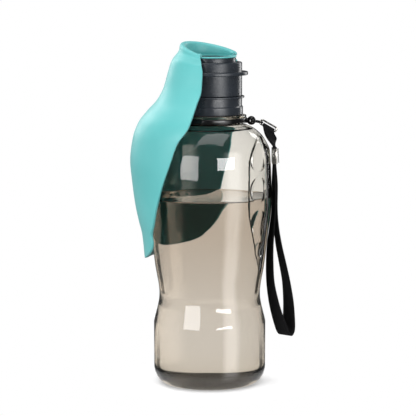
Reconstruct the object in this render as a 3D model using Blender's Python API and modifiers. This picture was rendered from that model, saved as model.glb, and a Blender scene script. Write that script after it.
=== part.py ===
"""Dog travel water bottle: a clear bottle with a threaded cap, a pull-up drinking spout, a silicone leaf
that hangs folded beside the bottle and flips up as a bowl, and a wrist strap on a turning neck ring.

Metres, +Z up. The origin is the centre of the flat base. Angles round the bottle are measured from the
front (-Y), positive towards the right (+X)."""

import math

import bmesh
import bpy
import numpy as np
from mathutils import Matrix, Vector

MM = 0.001

# General clearances and sheet thicknesses
SEAT_GAP = 0.3 * MM
RUNNING_GAP = 0.3 * MM
SILICONE = 1.6 * MM

# Roundings of moulded edges
EDGE_FINE = 0.3 * MM
EDGE_SMALL = 0.4 * MM
EDGE_MIDDLE = 0.6 * MM
EDGE_SOFT = 0.8 * MM

# Bottle
WALL = 1.8 * MM
FLOOR = 2.4 * MM
FOOT_R = 28.6 * MM
BASE_R = 36.4 * MM
BASE_TOP = 40.0 * MM
WAIST_R = 32.8 * MM
WAIST_Z = 58.6 * MM
HIP_R = 35.6 * MM
HIP_Z = 78.0 * MM
RISE_R = 37.8 * MM
RISE_Z = 96.5 * MM
BELLY_R = 40.2 * MM
BELLY_Z = 118.0 * MM
CHEST_R = 39.1 * MM
CHEST_Z = 151.0 * MM
SHOULDER_R = 35.1 * MM
SHOULDER_Z = 160.2 * MM
COLLAR_BONE_R = 28.4 * MM
COLLAR_BONE_Z = 166.7 * MM
SHOULDER_TOP_R = 23.6 * MM
SHOULDER_TOP_Z = 168.9 * MM
NECK_R = 21.0 * MM
NECK_WALL = 1.8 * MM
SUPPORT_R = 23.7 * MM
SUPPORT_Z = 173.9 * MM
SUPPORT_T = 1.2 * MM
FINISH_R = 18.6 * MM
RIM_Z = 182.3 * MM
NECK_FOOT_RISE = 0.6 * MM

# The widest radius of the bottle's side, which the leaf and the strap hang clear of
WIDEST_R = max(HIP_R, RISE_R, BELLY_R, CHEST_R)

# Finger grip pressed into the bottle opposite the leaf
GRIP_X = 32.7 * MM
GRIP_HALF_WIDTH = 11.2 * MM
GRIP_TOP = 162.0 * MM
GRIP_BOTTOM = 73.0 * MM
GRIP_DEPTH = 1.3 * MM
GRIP_EDGE = 2.4 * MM
DIMPLE_HEIGHTS = (149.1 * MM, 128.5 * MM, 107.3 * MM, 88.5 * MM)
DIMPLE_RADII = (9.0 * MM, 8.6 * MM, 9.0 * MM, 6.0 * MM)
DIMPLE_DEPTH = 2.2 * MM
DIMPLE_EDGE = 1.2
GRIP_CROWDING = 0.55

# Screw cap
CAP_R = 20.9 * MM
CAP_WALL = 1.9 * MM
SKIRT_R = 21.5 * MM
SKIRT_H = 5.2 * MM
CAP_BOTTOM = SUPPORT_Z + SUPPORT_T + 0.5 * MM
BEAD_R = 22.4 * MM
BEAD_H = 1.2 * MM
SKIRT_SLOPE = 0.6 * MM
SKIRT_EDGE = 1.0 * MM
PLATE_T = 1.6 * MM
GASKET_T = 1.3 * MM
GASKET_WIDTH = 2.3 * MM
TUBE_R = 8.0 * MM
TUBE_BORE_R = 6.2 * MM
TUBE_LEDGE_R = 5.4 * MM
TUBE_H = 15.5 * MM
LEDGE_DROP = 1.3 * MM
VALVE_R = 12.6 * MM
VALVE_T = 1.1 * MM
VALVE_DIP = 0.9 * MM
VALVE_SIDE_DIP = 0.6 * MM
RETAINER_T = 1.4 * MM
RETAINER_WALL = 1.3 * MM
RETAINER_BORE_R = 7.6 * MM
SLIT_LENGTH = 8.0 * MM
SLIT_WIDTH = 0.4 * MM
PIN_R = 3.3 * MM
PIN_RING_T = 2.0 * MM
PIN_RING_WIDTH = 1.1 * MM
SPOKE_WIDTH = 1.4 * MM
SPOKES = 3
SPOKE_INSET = 0.5 * MM
SPOKE_OVERLAP = 0.2 * MM
PIN_RECESS = 0.2 * MM

# Pull-up spout
SPOUT_TOP = 209.3 * MM
SPOUT_WALL = 1.6 * MM
FLANGE_R = 24.7 * MM
FLANGE_Z = 201.0 * MM
FLANGE_T = 2.2 * MM
STEM_R = 16.9 * MM
STEM_TOP = 211.9 * MM
STEM_WALL = 1.7 * MM
DISH_Z = 206.9 * MM
DISH_T = 1.6 * MM
HUB_WALL = 2.0 * MM
HUB_DROP = 14.8 * MM
O_RING_R = 0.6 * MM
O_RING_GROOVE = 2.0 * MM
GROOVE_RISE = 1.8 * MM
GROOVE_ROOM = 0.3 * MM
NOZZLE_WALL = 1.6 * MM
NOZZLE_H = 2.1 * MM
PULL_TRAVEL = 5.0 * MM

# Leaf collar and its clamp ring
COLLAR_R = 17.2 * MM
COLLAR_TOP = 213.1 * MM
COLLAR_SKIRT = 1.0 * MM
CLAMP_T = 2.4 * MM
CLAMP_TOP = 212.4 * MM

# Silicone leaf: the sheet's middle surface. Each station is a height, the angles of its near and far
# edges, and its radius at the edges and at the middle of its width. The radii stand off the piece that
# the leaf passes there: the collar, the spout's flange, the cap and then the bottle.
LEAF_STATIONS = (
    (222.0 * MM, -19.0, -246.0, COLLAR_R + 1.4 * MM, COLLAR_R + 1.4 * MM),
    (215.0 * MM, -18.5, -236.0, COLLAR_R + 3.4 * MM, COLLAR_R + 3.5 * MM),
    (209.0 * MM, -12.0, -226.0, COLLAR_R + 7.4 * MM, COLLAR_R + 6.9 * MM),
    (203.0 * MM, -10.0, -223.0, FLANGE_R + 1.9 * MM, FLANGE_R + 1.3 * MM),
    (192.0 * MM, -10.4, -220.0, FLANGE_R + 4.9 * MM, FLANGE_R + 4.5 * MM),
    (184.0 * MM, -13.9, -212.0, CAP_R + 13.1 * MM, CAP_R + 12.7 * MM),
    (177.0 * MM, -15.5, -207.5, CAP_R + 18.7 * MM, CAP_R + 19.1 * MM),
    (170.0 * MM, -17.6, -204.0, WIDEST_R + 3.8 * MM, WIDEST_R + 5.2 * MM),
    (160.0 * MM, -26.0, -200.5, WIDEST_R + 5.9 * MM, WIDEST_R + 9.0 * MM),
    (145.0 * MM, -33.6, -197.0, WIDEST_R + 6.0 * MM, WIDEST_R + 11.0 * MM),
    (132.0 * MM, -40.5, -192.3, WIDEST_R + 6.0 * MM, WIDEST_R + 9.8 * MM),
    (118.0 * MM, -46.9, -188.3, WIDEST_R + 5.8 * MM, WIDEST_R + 7.8 * MM),
    (107.0 * MM, -52.5, -183.5, WIDEST_R + 4.6 * MM, WIDEST_R + 5.4 * MM),
    (98.0 * MM, -58.8, -178.0, WIDEST_R + 3.0 * MM, WIDEST_R + 3.0 * MM),
    (80.8 * MM, -58.8, -158.0, WIDEST_R + 1.2 * MM, WIDEST_R + 1.2 * MM),
)
LEAF_SPLIT_Z = 196.0 * MM
LEAF_ROUND_Z = 98.0 * MM
LEAF_TIP_Z = 80.8 * MM
TIP_SWEEP = 80.0
CREST_RISE = 9.0 * MM
CREST_ANGLE = -125.0
CREST_NEAR_SHARE = 0.667
CREST_FAR_SHARE = 0.467
CREST_FOLD_R = 1.1 * MM
CREST_SLANT = 7.0 * MM
FOLD_BASE_GAP = SEAT_GAP
FOLD_BASE_RISE = 0.25 * MM
WALL_FAR_ANGLE = -268.0
FOLD_SLIDE = 0.16
LEAF_COLUMNS = 24
CUP_ROWS = 18
TIP_ROWS = 6
FOLD_ROWS = 8
FOLD_BLEND = 0.35

# Neck ring with its eye
RING_T = 2.8 * MM
RING_H = 3.0 * MM
EYE_R = 2.9 * MM
EYE_X = 26.9 * MM
EYE_HOLE_R = 1.0 * MM
EYE_DROP = 0.7 * MM
RING_EDGE = 0.7 * MM
LUG_R = 1.6 * MM

# Wrist strap
CORD_R = 0.55 * MM
CORD_REACH = 34.0 * MM
CORD_DROP = 1.2 * MM
CORD_HALF_WIDTH = 4.2 * MM
CORD_CORNER_R = 1.1 * MM
CORD_ROOM = 0.2 * MM
LINK_WIRE_R = 0.55 * MM
LINK_LENGTH = 11.6 * MM
LINK_HEIGHT = 3.0 * MM
LINK_CORNER_R = 1.2 * MM
LINK_SLOPE = 30.0
TAB_FOLD_R = 1.8 * MM
TAB_FOLD_LENGTH = 8.5 * MM
TAB_FOLD_OFFSET = 0.65 * MM
TAB_THICKNESS = 2.0 * MM
TAB_END_WIDTH = 9.8 * MM
TAB_THROAT_RISE = 0.5 * MM
TUNNEL_LENGTH = 16.0 * MM
WEBBING_WIDTH = 10.4 * MM
WEBBING_T = 0.9 * MM
CRIMP_X = WIDEST_R + 1.75 * MM
CRIMP_TOP = 153.6 * MM
CRIMP_H = 10.0 * MM
CRIMP_WALL = 0.5 * MM
LAYER_SPACING = 1.1 * MM
INSERTION = 3.0 * MM
LEVER_T = 0.4 * MM
LEVER_WIDTH = 3.0 * MM
LEVER_SPLAY = 0.5 * MM
LEVER_INSET = 0.4 * MM
LOOP_TWIST = 36.0
LOOP_STEPS = 84
LOOP_STRAIGHT = 1.6 * MM
LOOP_END_DEPTH = 0.4 * MM
LOOP_BEND_DEPTH = 1.2 * MM

# The hanging loop. Each station is a height, the distances of the inner and the outer strand from
# the bottle's axis, and the share of the twist reached there.
LOOP_STATIONS = (
    (130.0 * MM, WIDEST_R + 1.4 * MM, WIDEST_R + 2.55 * MM, 0.28),
    (114.0 * MM, WIDEST_R + 1.4 * MM, WIDEST_R + 2.55 * MM, 0.28),
    (102.0 * MM, WIDEST_R + 0.4 * MM, WIDEST_R + 3.2 * MM, 0.4),
    (90.0 * MM, WIDEST_R - 0.8 * MM, WIDEST_R + 4.9 * MM, 0.55),
    (78.0 * MM, WIDEST_R - 1.1 * MM, WIDEST_R + 7.4 * MM, 0.66),
    (66.0 * MM, WIDEST_R - 0.6 * MM, WIDEST_R + 9.8 * MM, 0.76),
    (54.0 * MM, WIDEST_R + 1.4 * MM, WIDEST_R + 11.3 * MM, 1.0),
    (44.0 * MM, WIDEST_R + 4.0 * MM, WIDEST_R + 11.8 * MM, 1.2),
    (36.0 * MM, WIDEST_R + 6.7 * MM, WIDEST_R + 11.7 * MM, 1.4),
    (32.4 * MM, WIDEST_R + 8.1 * MM, WIDEST_R + 11.1 * MM, 1.4),
)
LOOP_BOTTOM_X = WIDEST_R + 9.7 * MM
LOOP_BOTTOM_Z = 30.8 * MM
LOOP_BEND_SHARE = 0.05

ON_AXIS = 0.1 * MM
ROUND_STEPS = 36
SMALL_STEPS = 24
BOTTLE_STEPS = 42
FILLET_STEPS = 2

PARTS = "dog_water_bottle"
CUTTERS = "cutters"


def clear_scene():
    for item in list(bpy.data.objects):
        bpy.data.objects.remove(item)


def collection(name):
    made = bpy.data.collections.new(name)
    bpy.context.scene.collection.children.link(made)
    return made


def linear(hex_colour):
    """An sRGB hex colour as linear red, green, blue and alpha."""
    parts = [int(hex_colour[i : i + 2], 16) / 255 for i in (1, 3, 5)]
    curve = [c / 12.92 if c <= 0.04045 else ((c + 0.055) / 1.055) ** 2.4 for c in parts]
    return (*curve, 1.0)


def material(name, hex_colour, roughness, metallic=0.0, transmission=0.0):
    made = bpy.data.materials.new(name)
    made.use_nodes = True
    shader = made.node_tree.nodes["Principled BSDF"]
    shader.inputs["Base Color"].default_value = linear(hex_colour)
    shader.inputs["Roughness"].default_value = roughness
    shader.inputs["Metallic"].default_value = metallic
    shader.inputs["Transmission Weight"].default_value = transmission
    made.diffuse_color = linear(hex_colour)
    return made


def add_object(name, data, home, finish=None):
    made = bpy.data.objects.new(name, data)
    home.objects.link(made)
    if finish is not None:
        made.data.materials.append(finish)
    return made


def shade(mesh, angle=35.0):
    mesh.shade_smooth()
    mesh.set_sharp_from_angle(angle=math.radians(angle))


def smooth_curve(xs, ys):
    """A smooth function through the points (xs rising), with no overshoot between them."""
    xs = np.asarray(xs, float)
    ys = np.asarray(ys, float)
    steps = np.diff(xs)
    slopes = np.diff(ys) / steps
    tangents = np.zeros(len(xs))
    for i in range(1, len(xs) - 1):
        if slopes[i - 1] * slopes[i] > 0:
            before = 2 * steps[i] + steps[i - 1]
            after = steps[i] + 2 * steps[i - 1]
            tangents[i] = (before + after) / (before / slopes[i - 1] + after / slopes[i])
    tangents[0] = slopes[0]
    tangents[-1] = slopes[-1]

    def value(x):
        x = min(max(x, xs[0]), xs[-1])
        i = min(int(np.searchsorted(xs, x, side="right")) - 1, len(steps) - 1)
        t = (x - xs[i]) / steps[i]
        start = (1 + 2 * t) * (1 - t) ** 2 * ys[i] + t * (1 - t) ** 2 * steps[i] * tangents[i]
        end = t**2 * (3 - 2 * t) * ys[i + 1] + t**2 * (t - 1) * steps[i] * tangents[i + 1]
        return float(start + end)

    return value


def smooth_step(t):
    t = min(max(t, 0.0), 1.0)
    return t * t * (3 - 2 * t)


def on_circle(radius, angle, z):
    """The point at a radius and height, at an angle in degrees from the front towards the right."""
    turn = math.radians(angle)
    return Vector((radius * math.sin(turn), -radius * math.cos(turn), z))


def filleted(corners, closed):
    """A profile's points. A corner (r, z, fillet) is rounded by a curve that starts that far before it."""
    points = []
    count = len(corners)
    for i, corner in enumerate(corners):
        here = Vector(corner[:2])
        fillet = corner[2] if len(corner) > 2 else 0.0
        if not fillet or (not closed and i in (0, count - 1)):
            points.append(here)
            continue
        before = Vector(corners[i - 1][:2]) - here
        after = Vector(corners[(i + 1) % count][:2]) - here
        start = here + before.normalized() * min(fillet, before.length * 0.49)
        end = here + after.normalized() * min(fillet, after.length * 0.49)
        for k in range(FILLET_STEPS + 1):
            t = k / FILLET_STEPS
            points.append((1 - t) ** 2 * start + 2 * t * (1 - t) * here + t**2 * end)
    return points


def turned(name, corners, home, finish, steps=ROUND_STEPS, closed=True):
    """A turned piece: its profile runs down its outer side and is spun round the Z axis."""
    points = filleted(corners, closed)
    mesh = bpy.data.meshes.new(name)
    edges = [(i, i + 1) for i in range(len(points) - 1)]
    if closed:
        edges.append((len(points) - 1, 0))
    mesh.from_pydata([(p.x, 0.0, p.y) for p in points], edges, [])
    made = add_object(name, mesh, home, finish)
    spin = made.modifiers.new("spin", "SCREW")
    spin.axis = "Z"
    spin.steps = steps
    spin.render_steps = steps
    spin.use_merge_vertices = True
    spin.merge_threshold = 0.00001
    spin.use_smooth_shade = True
    if not closed:
        weld = made.modifiers.new("weld_axis", "WELD")
        weld.merge_threshold = 0.000005
    return made


def settled(made, home):
    """The same piece with its modifiers or curve turned into a real mesh, for cuts and pressing."""
    bpy.context.view_layer.update()
    graph = bpy.context.evaluated_depsgraph_get()
    mesh = bpy.data.meshes.new_from_object(made.evaluated_get(graph))
    work = bmesh.new()
    work.from_mesh(mesh)
    bmesh.ops.remove_doubles(work, verts=work.verts, dist=0.000002)
    bmesh.ops.dissolve_degenerate(work, edges=work.edges, dist=0.000001)
    bmesh.ops.recalc_face_normals(work, faces=work.faces)
    work.to_mesh(mesh)
    work.free()
    name = made.name
    world = made.matrix_world.copy()
    bpy.data.objects.remove(made)
    real = add_object(name, mesh, home)
    real.matrix_world = world
    return real


def cut(target, cutter, operation="DIFFERENCE"):
    """Cuts or joins target with cutter, which is kept as a wire guide."""
    cutter.hide_render = True
    cutter.display_type = "WIRE"
    change = target.modifiers.new(cutter.name, "BOOLEAN")
    change.operation = operation
    change.solver = "EXACT"
    change.object = cutter


def block(name, size, centre, home, turn=0.0):
    mesh = bpy.data.meshes.new(name)
    work = bmesh.new()
    bmesh.ops.create_cube(work, size=1.0)
    bmesh.ops.scale(work, vec=size, verts=work.verts)
    work.to_mesh(mesh)
    work.free()
    made = add_object(name, mesh, home)
    made.location = centre
    made.rotation_euler.z = turn
    return made


def rod(name, radius, length, centre, direction, home, sides=20):
    mesh = bpy.data.meshes.new(name)
    work = bmesh.new()
    bmesh.ops.create_cone(
        work, cap_ends=True, segments=sides, radius1=radius, radius2=radius, depth=length
    )
    work.to_mesh(mesh)
    work.free()
    made = add_object(name, mesh, home)
    made.rotation_mode = "QUATERNION"
    made.rotation_quaternion = Vector(direction).to_track_quat("Z", "Y")
    made.location = centre
    return made


def grid_object(name, rows, home, finish, wrap=False, caps=False):
    """A mesh through rows of points. With wrap each row closes on itself, and caps fill its two ends."""
    mesh = bpy.data.meshes.new(name)
    work = bmesh.new()
    verts = [[work.verts.new(p) for p in row] for row in rows]
    width = len(rows[0])
    for a, b in zip(verts[:-1], verts[1:]):
        for i in range(width if wrap else width - 1):
            j = (i + 1) % width
            work.faces.new((a[i], a[j], b[j], b[i]))
    if caps:
        work.faces.new(verts[0])
        work.faces.new(list(reversed(verts[-1])))
    bmesh.ops.recalc_face_normals(work, faces=work.faces)
    work.to_mesh(mesh)
    work.free()
    return add_object(name, mesh, home, finish)


def closed_wire(name, points, radius, home, finish):
    """A closed loop of round wire or cord through the points."""
    curve = bpy.data.curves.new(name, "CURVE")
    curve.dimensions = "3D"
    curve.bevel_depth = radius
    curve.bevel_resolution = 2
    line = curve.splines.new("POLY")
    line.points.add(len(points) - 1)
    for target, point in zip(line.points, points):
        target.co = (*point, 1.0)
    line.use_cyclic_u = True
    return add_object(name, curve, home, finish)


def rounded_loop(length, height, corner, per_corner=4):
    """Points of a rounded rectangle from x = 0 to length, centred on y = 0."""
    points = []
    centres = (
        (length - corner, height / 2 - corner, 0.0),
        (corner, height / 2 - corner, 90.0),
        (corner, corner - height / 2, 180.0),
        (length - corner, corner - height / 2, 270.0),
    )
    for x, y, start in centres:
        for k in range(per_corner + 1):
            turn = math.radians(start + 90.0 * k / per_corner)
            points.append((x + corner * math.cos(turn), y + corner * math.sin(turn)))
    return points


def bottle_radius():
    """The bottle's outer radius as a function of height, from the base to the top of the shoulder."""
    heights = (
        BASE_TOP,
        WAIST_Z,
        HIP_Z,
        RISE_Z,
        BELLY_Z,
        CHEST_Z,
        SHOULDER_Z,
        COLLAR_BONE_Z,
        SHOULDER_TOP_Z,
    )
    radii = (
        BASE_R,
        WAIST_R,
        HIP_R,
        RISE_R,
        BELLY_R,
        CHEST_R,
        SHOULDER_R,
        COLLAR_BONE_R,
        SHOULDER_TOP_R,
    )
    curve = smooth_curve(heights, radii)
    return lambda z: curve(max(z, BASE_TOP))


def grip_press(angle, z, reach):
    """How far the finger grip is pressed in at an angle and height, where the bottle's radius is reach.

    The grip is a long panel with four dimples. Its middle line runs straight down, GRIP_X to the side."""
    share = (z - GRIP_BOTTOM) / (GRIP_TOP - GRIP_BOTTOM)
    if not 0.0 < share < 1.0:
        return 0.0
    middle = math.degrees(math.asin(GRIP_X / reach))
    off = (angle - middle + 180.0) % 360.0 - 180.0
    along = math.radians(off) * reach
    taper = min(1.0, 2.2 * share) ** 0.7 * min(1.0, 6.0 * (1.0 - share)) ** 0.5
    depth = GRIP_DEPTH * smooth_step((GRIP_HALF_WIDTH * taper - abs(along)) / GRIP_EDGE)
    for height, radius in zip(DIMPLE_HEIGHTS, DIMPLE_RADII):
        distance = math.hypot(along, z - height)
        if distance < radius:
            depth += DIMPLE_DEPTH * (1.0 - (distance / radius) ** 2) ** DIMPLE_EDGE
    return depth


def make_bottle(home, finish):
    radius = bottle_radius()
    body = np.concatenate(
        [
            np.linspace(BASE_TOP, WAIST_Z, 5)[:-1],
            np.linspace(WAIST_Z, GRIP_BOTTOM, 3)[:-1],
            np.linspace(GRIP_BOTTOM, GRIP_TOP, 26)[:-1],
            np.linspace(GRIP_TOP, SHOULDER_TOP_Z, 4),
        ]
    )
    outer = [
        (FINISH_R, RIM_Z),
        (FINISH_R, SUPPORT_Z + SUPPORT_T),
        (SUPPORT_R, SUPPORT_Z + SUPPORT_T),
        (SUPPORT_R, SUPPORT_Z),
        (NECK_R, SUPPORT_Z),
        (NECK_R, SHOULDER_TOP_Z + NECK_FOOT_RISE),
    ]
    outer += [(radius(z), z) for z in reversed(body)]
    heel = BASE_R - FOOT_R
    heel_height = 1.5 * heel
    for k in range(5):
        turn = math.radians(90.0 * k / 4)
        drop = heel_height * (1 - math.sin(turn))
        outer.append((FOOT_R + heel * math.cos(turn), drop))
    outer.append((0.0, 0.0))
    inner = [(0.0, FLOOR), (FOOT_R - WALL, FLOOR), (BASE_R - 1.6 * WALL, FLOOR + heel_height * 0.55)]
    inner += [(radius(z) - WALL, z) for z in body[:-2]]
    inner += [
        (SHOULDER_TOP_R - 0.5 * WALL, SHOULDER_TOP_Z - WALL),
        (NECK_R - 2 * NECK_WALL, SHOULDER_TOP_Z + NECK_FOOT_RISE),
        (FINISH_R - NECK_WALL, SUPPORT_Z),
        (FINISH_R - NECK_WALL, RIM_Z),
    ]
    profile = inner + outer
    shell = turned("bottle_shell", profile, home, finish, steps=BOTTLE_STEPS, closed=False)
    shell = settled(shell, home)
    crowd = math.asin(GRIP_X / BELLY_R)
    for vert in shell.data.vertices:
        x, y, z = vert.co
        reach = math.hypot(x, y)
        if reach < ON_AXIS:
            continue
        turn = math.atan2(x, -y) - crowd
        turn = (turn + math.pi) % (2 * math.pi) - math.pi
        angle = math.degrees(crowd + turn - GRIP_CROWDING * math.sin(turn))
        vert.co = on_circle(reach - grip_press(angle, z, radius(min(z, GRIP_TOP))), angle, z)
    shade(shell.data)
    return shell


def plate_height():
    """The underside of the cap's plate, above the rim, the valve insert's flange and the gasket."""
    return RIM_Z + RETAINER_T + GASKET_T + 3 * SEAT_GAP


def make_cap(home, cutters, finish, seal, pin_finish):
    plate_under = plate_height()
    plate_top = plate_under + PLATE_T
    inner_r = CAP_R - CAP_WALL
    ledge_z = plate_top + TUBE_H - 2 * PIN_RING_T - LEDGE_DROP
    turned(
        "screw_cap",
        (
            (BEAD_R, plate_top, EDGE_SMALL),
            (BEAD_R, plate_top - BEAD_H, EDGE_SMALL),
            (CAP_R, plate_top - BEAD_H),
            (CAP_R, CAP_BOTTOM + SKIRT_H + SKIRT_SLOPE),
            (SKIRT_R, CAP_BOTTOM + SKIRT_H),
            (SKIRT_R, CAP_BOTTOM, SKIRT_EDGE),
            (inner_r, CAP_BOTTOM),
            (inner_r, plate_under),
            (TUBE_LEDGE_R, plate_under),
            (TUBE_LEDGE_R, ledge_z),
            (TUBE_BORE_R, ledge_z),
            (TUBE_BORE_R, plate_top + TUBE_H),
            (TUBE_R, plate_top + TUBE_H, EDGE_SMALL),
            (TUBE_R, plate_top),
        ),
        home,
        finish,
    )
    gasket_top = plate_under - SEAT_GAP
    turned(
        "cap_gasket",
        (
            (FINISH_R, gasket_top),
            (FINISH_R, gasket_top - GASKET_T),
            (FINISH_R - GASKET_WIDTH, gasket_top - GASKET_T),
            (FINISH_R - GASKET_WIDTH, gasket_top),
        ),
        home,
        seal,
        steps=SMALL_STEPS,
    )
    disc_top = plate_under - SEAT_GAP
    disc_low = disc_top - VALVE_T
    valve = turned(
        "slit_valve",
        (
            (0.0, disc_top - VALVE_DIP),
            (0.6 * TUBE_LEDGE_R, disc_top - VALVE_SIDE_DIP),
            (TUBE_LEDGE_R, disc_top),
            (VALVE_R, disc_top),
            (VALVE_R, disc_low),
            (TUBE_LEDGE_R, disc_low),
            (0.6 * TUBE_LEDGE_R, disc_low - VALVE_SIDE_DIP),
            (0.0, disc_low - VALVE_DIP),
        ),
        home,
        seal,
        steps=SMALL_STEPS,
        closed=False,
    )
    for k in range(2):
        slit = block(
            f"slit_cutter_{k + 1}",
            (SLIT_LENGTH, SLIT_WIDTH, 4 * VALVE_T),
            (0.0, 0.0, disc_low),
            cutters,
            turn=math.pi / 2 * k,
        )
        cut(valve, slit)
    wall_r = VALVE_R + SEAT_GAP
    flange_low = RIM_Z + SEAT_GAP
    turned(
        "valve_retainer",
        (
            (FINISH_R, flange_low + RETAINER_T),
            (FINISH_R, flange_low),
            (RETAINER_BORE_R, flange_low),
            (RETAINER_BORE_R, disc_low - SEAT_GAP),
            (wall_r, disc_low - SEAT_GAP),
            (wall_r, disc_top),
            (wall_r + RETAINER_WALL, disc_top),
            (wall_r + RETAINER_WALL, flange_low + RETAINER_T),
        ),
        home,
        finish,
        steps=SMALL_STEPS,
    )
    ring_low = ledge_z + SEAT_GAP
    ring_r = TUBE_BORE_R - SEAT_GAP
    pin_top = DISH_Z + NOZZLE_H - PIN_RECESS
    pin = turned(
        "closure_pin",
        (
            (0.0, pin_top),
            (PIN_R, pin_top, EDGE_SOFT),
            (PIN_R, ring_low, EDGE_SMALL),
            (0.0, ring_low),
        ),
        home,
        pin_finish,
        steps=SMALL_STEPS,
        closed=False,
    )
    band = turned(
        "pin_ring",
        (
            (ring_r, ring_low + PIN_RING_T),
            (ring_r, ring_low),
            (ring_r - PIN_RING_WIDTH, ring_low),
            (ring_r - PIN_RING_WIDTH, ring_low + PIN_RING_T),
        ),
        cutters,
        None,
        steps=SMALL_STEPS,
    )
    for k in range(SPOKES):
        turn = 2 * math.pi * k / SPOKES
        middle = (PIN_R + ring_r) / 2 - SPOKE_INSET
        spoke = block(
            f"pin_spoke_{k + 1}",
            (ring_r - PIN_R + SPOKE_OVERLAP, SPOKE_WIDTH, PIN_RING_T * 0.8),
            (middle * math.cos(turn), middle * math.sin(turn), ring_low + PIN_RING_T / 2),
            cutters,
            turn=turn,
        )
        cut(pin, spoke, "UNION")
    cut(pin, band, "UNION")


def make_spout(home, finish, seal):
    plate_top = plate_height() + PLATE_T
    hub_bore = TUBE_R + RUNNING_GAP
    hub_r = hub_bore + HUB_WALL
    under = DISH_Z - DISH_T
    hub_low = under - HUB_DROP
    throat = PIN_R + RUNNING_GAP
    groove_low = hub_low + GROOVE_RISE
    groove_r = TUBE_R + 2 * O_RING_R + GROOVE_ROOM
    turned(
        "pull_spout",
        (
            (STEM_R, STEM_TOP, EDGE_FINE),
            (STEM_R, SPOUT_TOP),
            (CAP_R, SPOUT_TOP, EDGE_SOFT),
            (CAP_R, FLANGE_Z + FLANGE_T),
            (FLANGE_R, FLANGE_Z + FLANGE_T, EDGE_MIDDLE),
            (FLANGE_R, FLANGE_Z, EDGE_MIDDLE),
            (CAP_R, FLANGE_Z),
            (CAP_R, plate_top + SEAT_GAP, EDGE_FINE),
            (CAP_R - SPOUT_WALL, plate_top + SEAT_GAP),
            (CAP_R - SPOUT_WALL, under),
            (hub_r, under),
            (hub_r, hub_low),
            (hub_bore, hub_low, EDGE_FINE),
            (hub_bore, groove_low),
            (groove_r, groove_low),
            (groove_r, groove_low + O_RING_GROOVE),
            (hub_bore, groove_low + O_RING_GROOVE),
            (hub_bore, under),
            (throat, under),
            (throat, DISH_Z + NOZZLE_H),
            (throat + NOZZLE_WALL, DISH_Z + NOZZLE_H, EDGE_SMALL),
            (throat + NOZZLE_WALL, DISH_Z),
            (STEM_R - STEM_WALL, DISH_Z),
            (STEM_R - STEM_WALL, STEM_TOP),
        ),
        home,
        finish,
    )
    bpy.ops.mesh.primitive_torus_add(
        major_segments=SMALL_STEPS,
        minor_segments=8,
        major_radius=TUBE_R + O_RING_R + GROOVE_ROOM / 2,
        minor_radius=O_RING_R,
        location=(0.0, 0.0, groove_low + O_RING_GROOVE / 2),
    )
    ring = bpy.context.object
    ring.name = "spout_o_ring"
    for place in list(ring.users_collection):
        place.objects.unlink(ring)
    home.objects.link(ring)
    ring.data.materials.append(seal)
    shade(ring.data)


def make_leaf_seat(home, silicone, plastic):
    skirt_r = STEM_R - STEM_WALL - SEAT_GAP
    floor_z = DISH_Z + SEAT_GAP
    turned(
        "leaf_collar",
        (
            (COLLAR_R, COLLAR_TOP, EDGE_FINE),
            (COLLAR_R, STEM_TOP + SEAT_GAP, EDGE_FINE),
            (skirt_r, STEM_TOP + SEAT_GAP),
            (skirt_r, floor_z),
            (skirt_r - COLLAR_SKIRT, floor_z),
            (skirt_r - COLLAR_SKIRT, COLLAR_TOP),
        ),
        home,
        silicone,
    )
    clamp_r = skirt_r - COLLAR_SKIRT - SEAT_GAP
    turned(
        "leaf_clamp",
        (
            (clamp_r, CLAMP_TOP, EDGE_SMALL),
            (clamp_r, floor_z),
            (clamp_r - CLAMP_T, floor_z),
            (clamp_r - CLAMP_T, CLAMP_TOP, EDGE_SMALL),
        ),
        home,
        plastic,
        steps=SMALL_STEPS,
    )


def leaf_curves():
    """The leaf's near angle, far angle, edge radius and middle radius as functions of height."""
    rising = sorted(LEAF_STATIONS)
    heights = [row[0] for row in rising]
    return [smooth_curve(heights, [row[k] for row in rising]) for k in range(1, 5)]


def leaf_point(near, far, edge_r, middle_r, share, z):
    """A point of the sheet, a share of the way from its near edge to its far edge."""
    bulge = max(math.sin(math.pi * share), 0.0) ** 0.8
    return on_circle(edge_r + (middle_r - edge_r) * bulge, near + (far - near) * share, z)


def leaf_shares():
    return [i / LEAF_COLUMNS for i in range(LEAF_COLUMNS + 1)]


def make_leaf_cup(home, finish):
    near, far, edge_r, middle_r = leaf_curves()
    rows = []
    for k in range(CUP_ROWS + 1):
        z = LEAF_SPLIT_Z + (LEAF_ROUND_Z - LEAF_SPLIT_Z) * k / CUP_ROWS
        rows.append([leaf_point(near(z), far(z), edge_r(z), middle_r(z), s, z) for s in leaf_shares()])
    for k in range(1, TIP_ROWS + 1):
        sweep = math.radians(TIP_SWEEP * k / TIP_ROWS)
        z = LEAF_ROUND_Z - (LEAF_ROUND_Z - LEAF_TIP_Z) * math.sin(sweep)
        middle = (near(z) + far(z)) / 2
        half = (near(LEAF_ROUND_Z) - far(LEAF_ROUND_Z)) / 2 * math.cos(sweep)
        rows.append(
            [
                leaf_point(middle + half, middle - half, edge_r(z), middle_r(z), s, z)
                for s in leaf_shares()
            ]
        )
    return silicone_sheet("leaf_cup", rows, home, finish)


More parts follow.
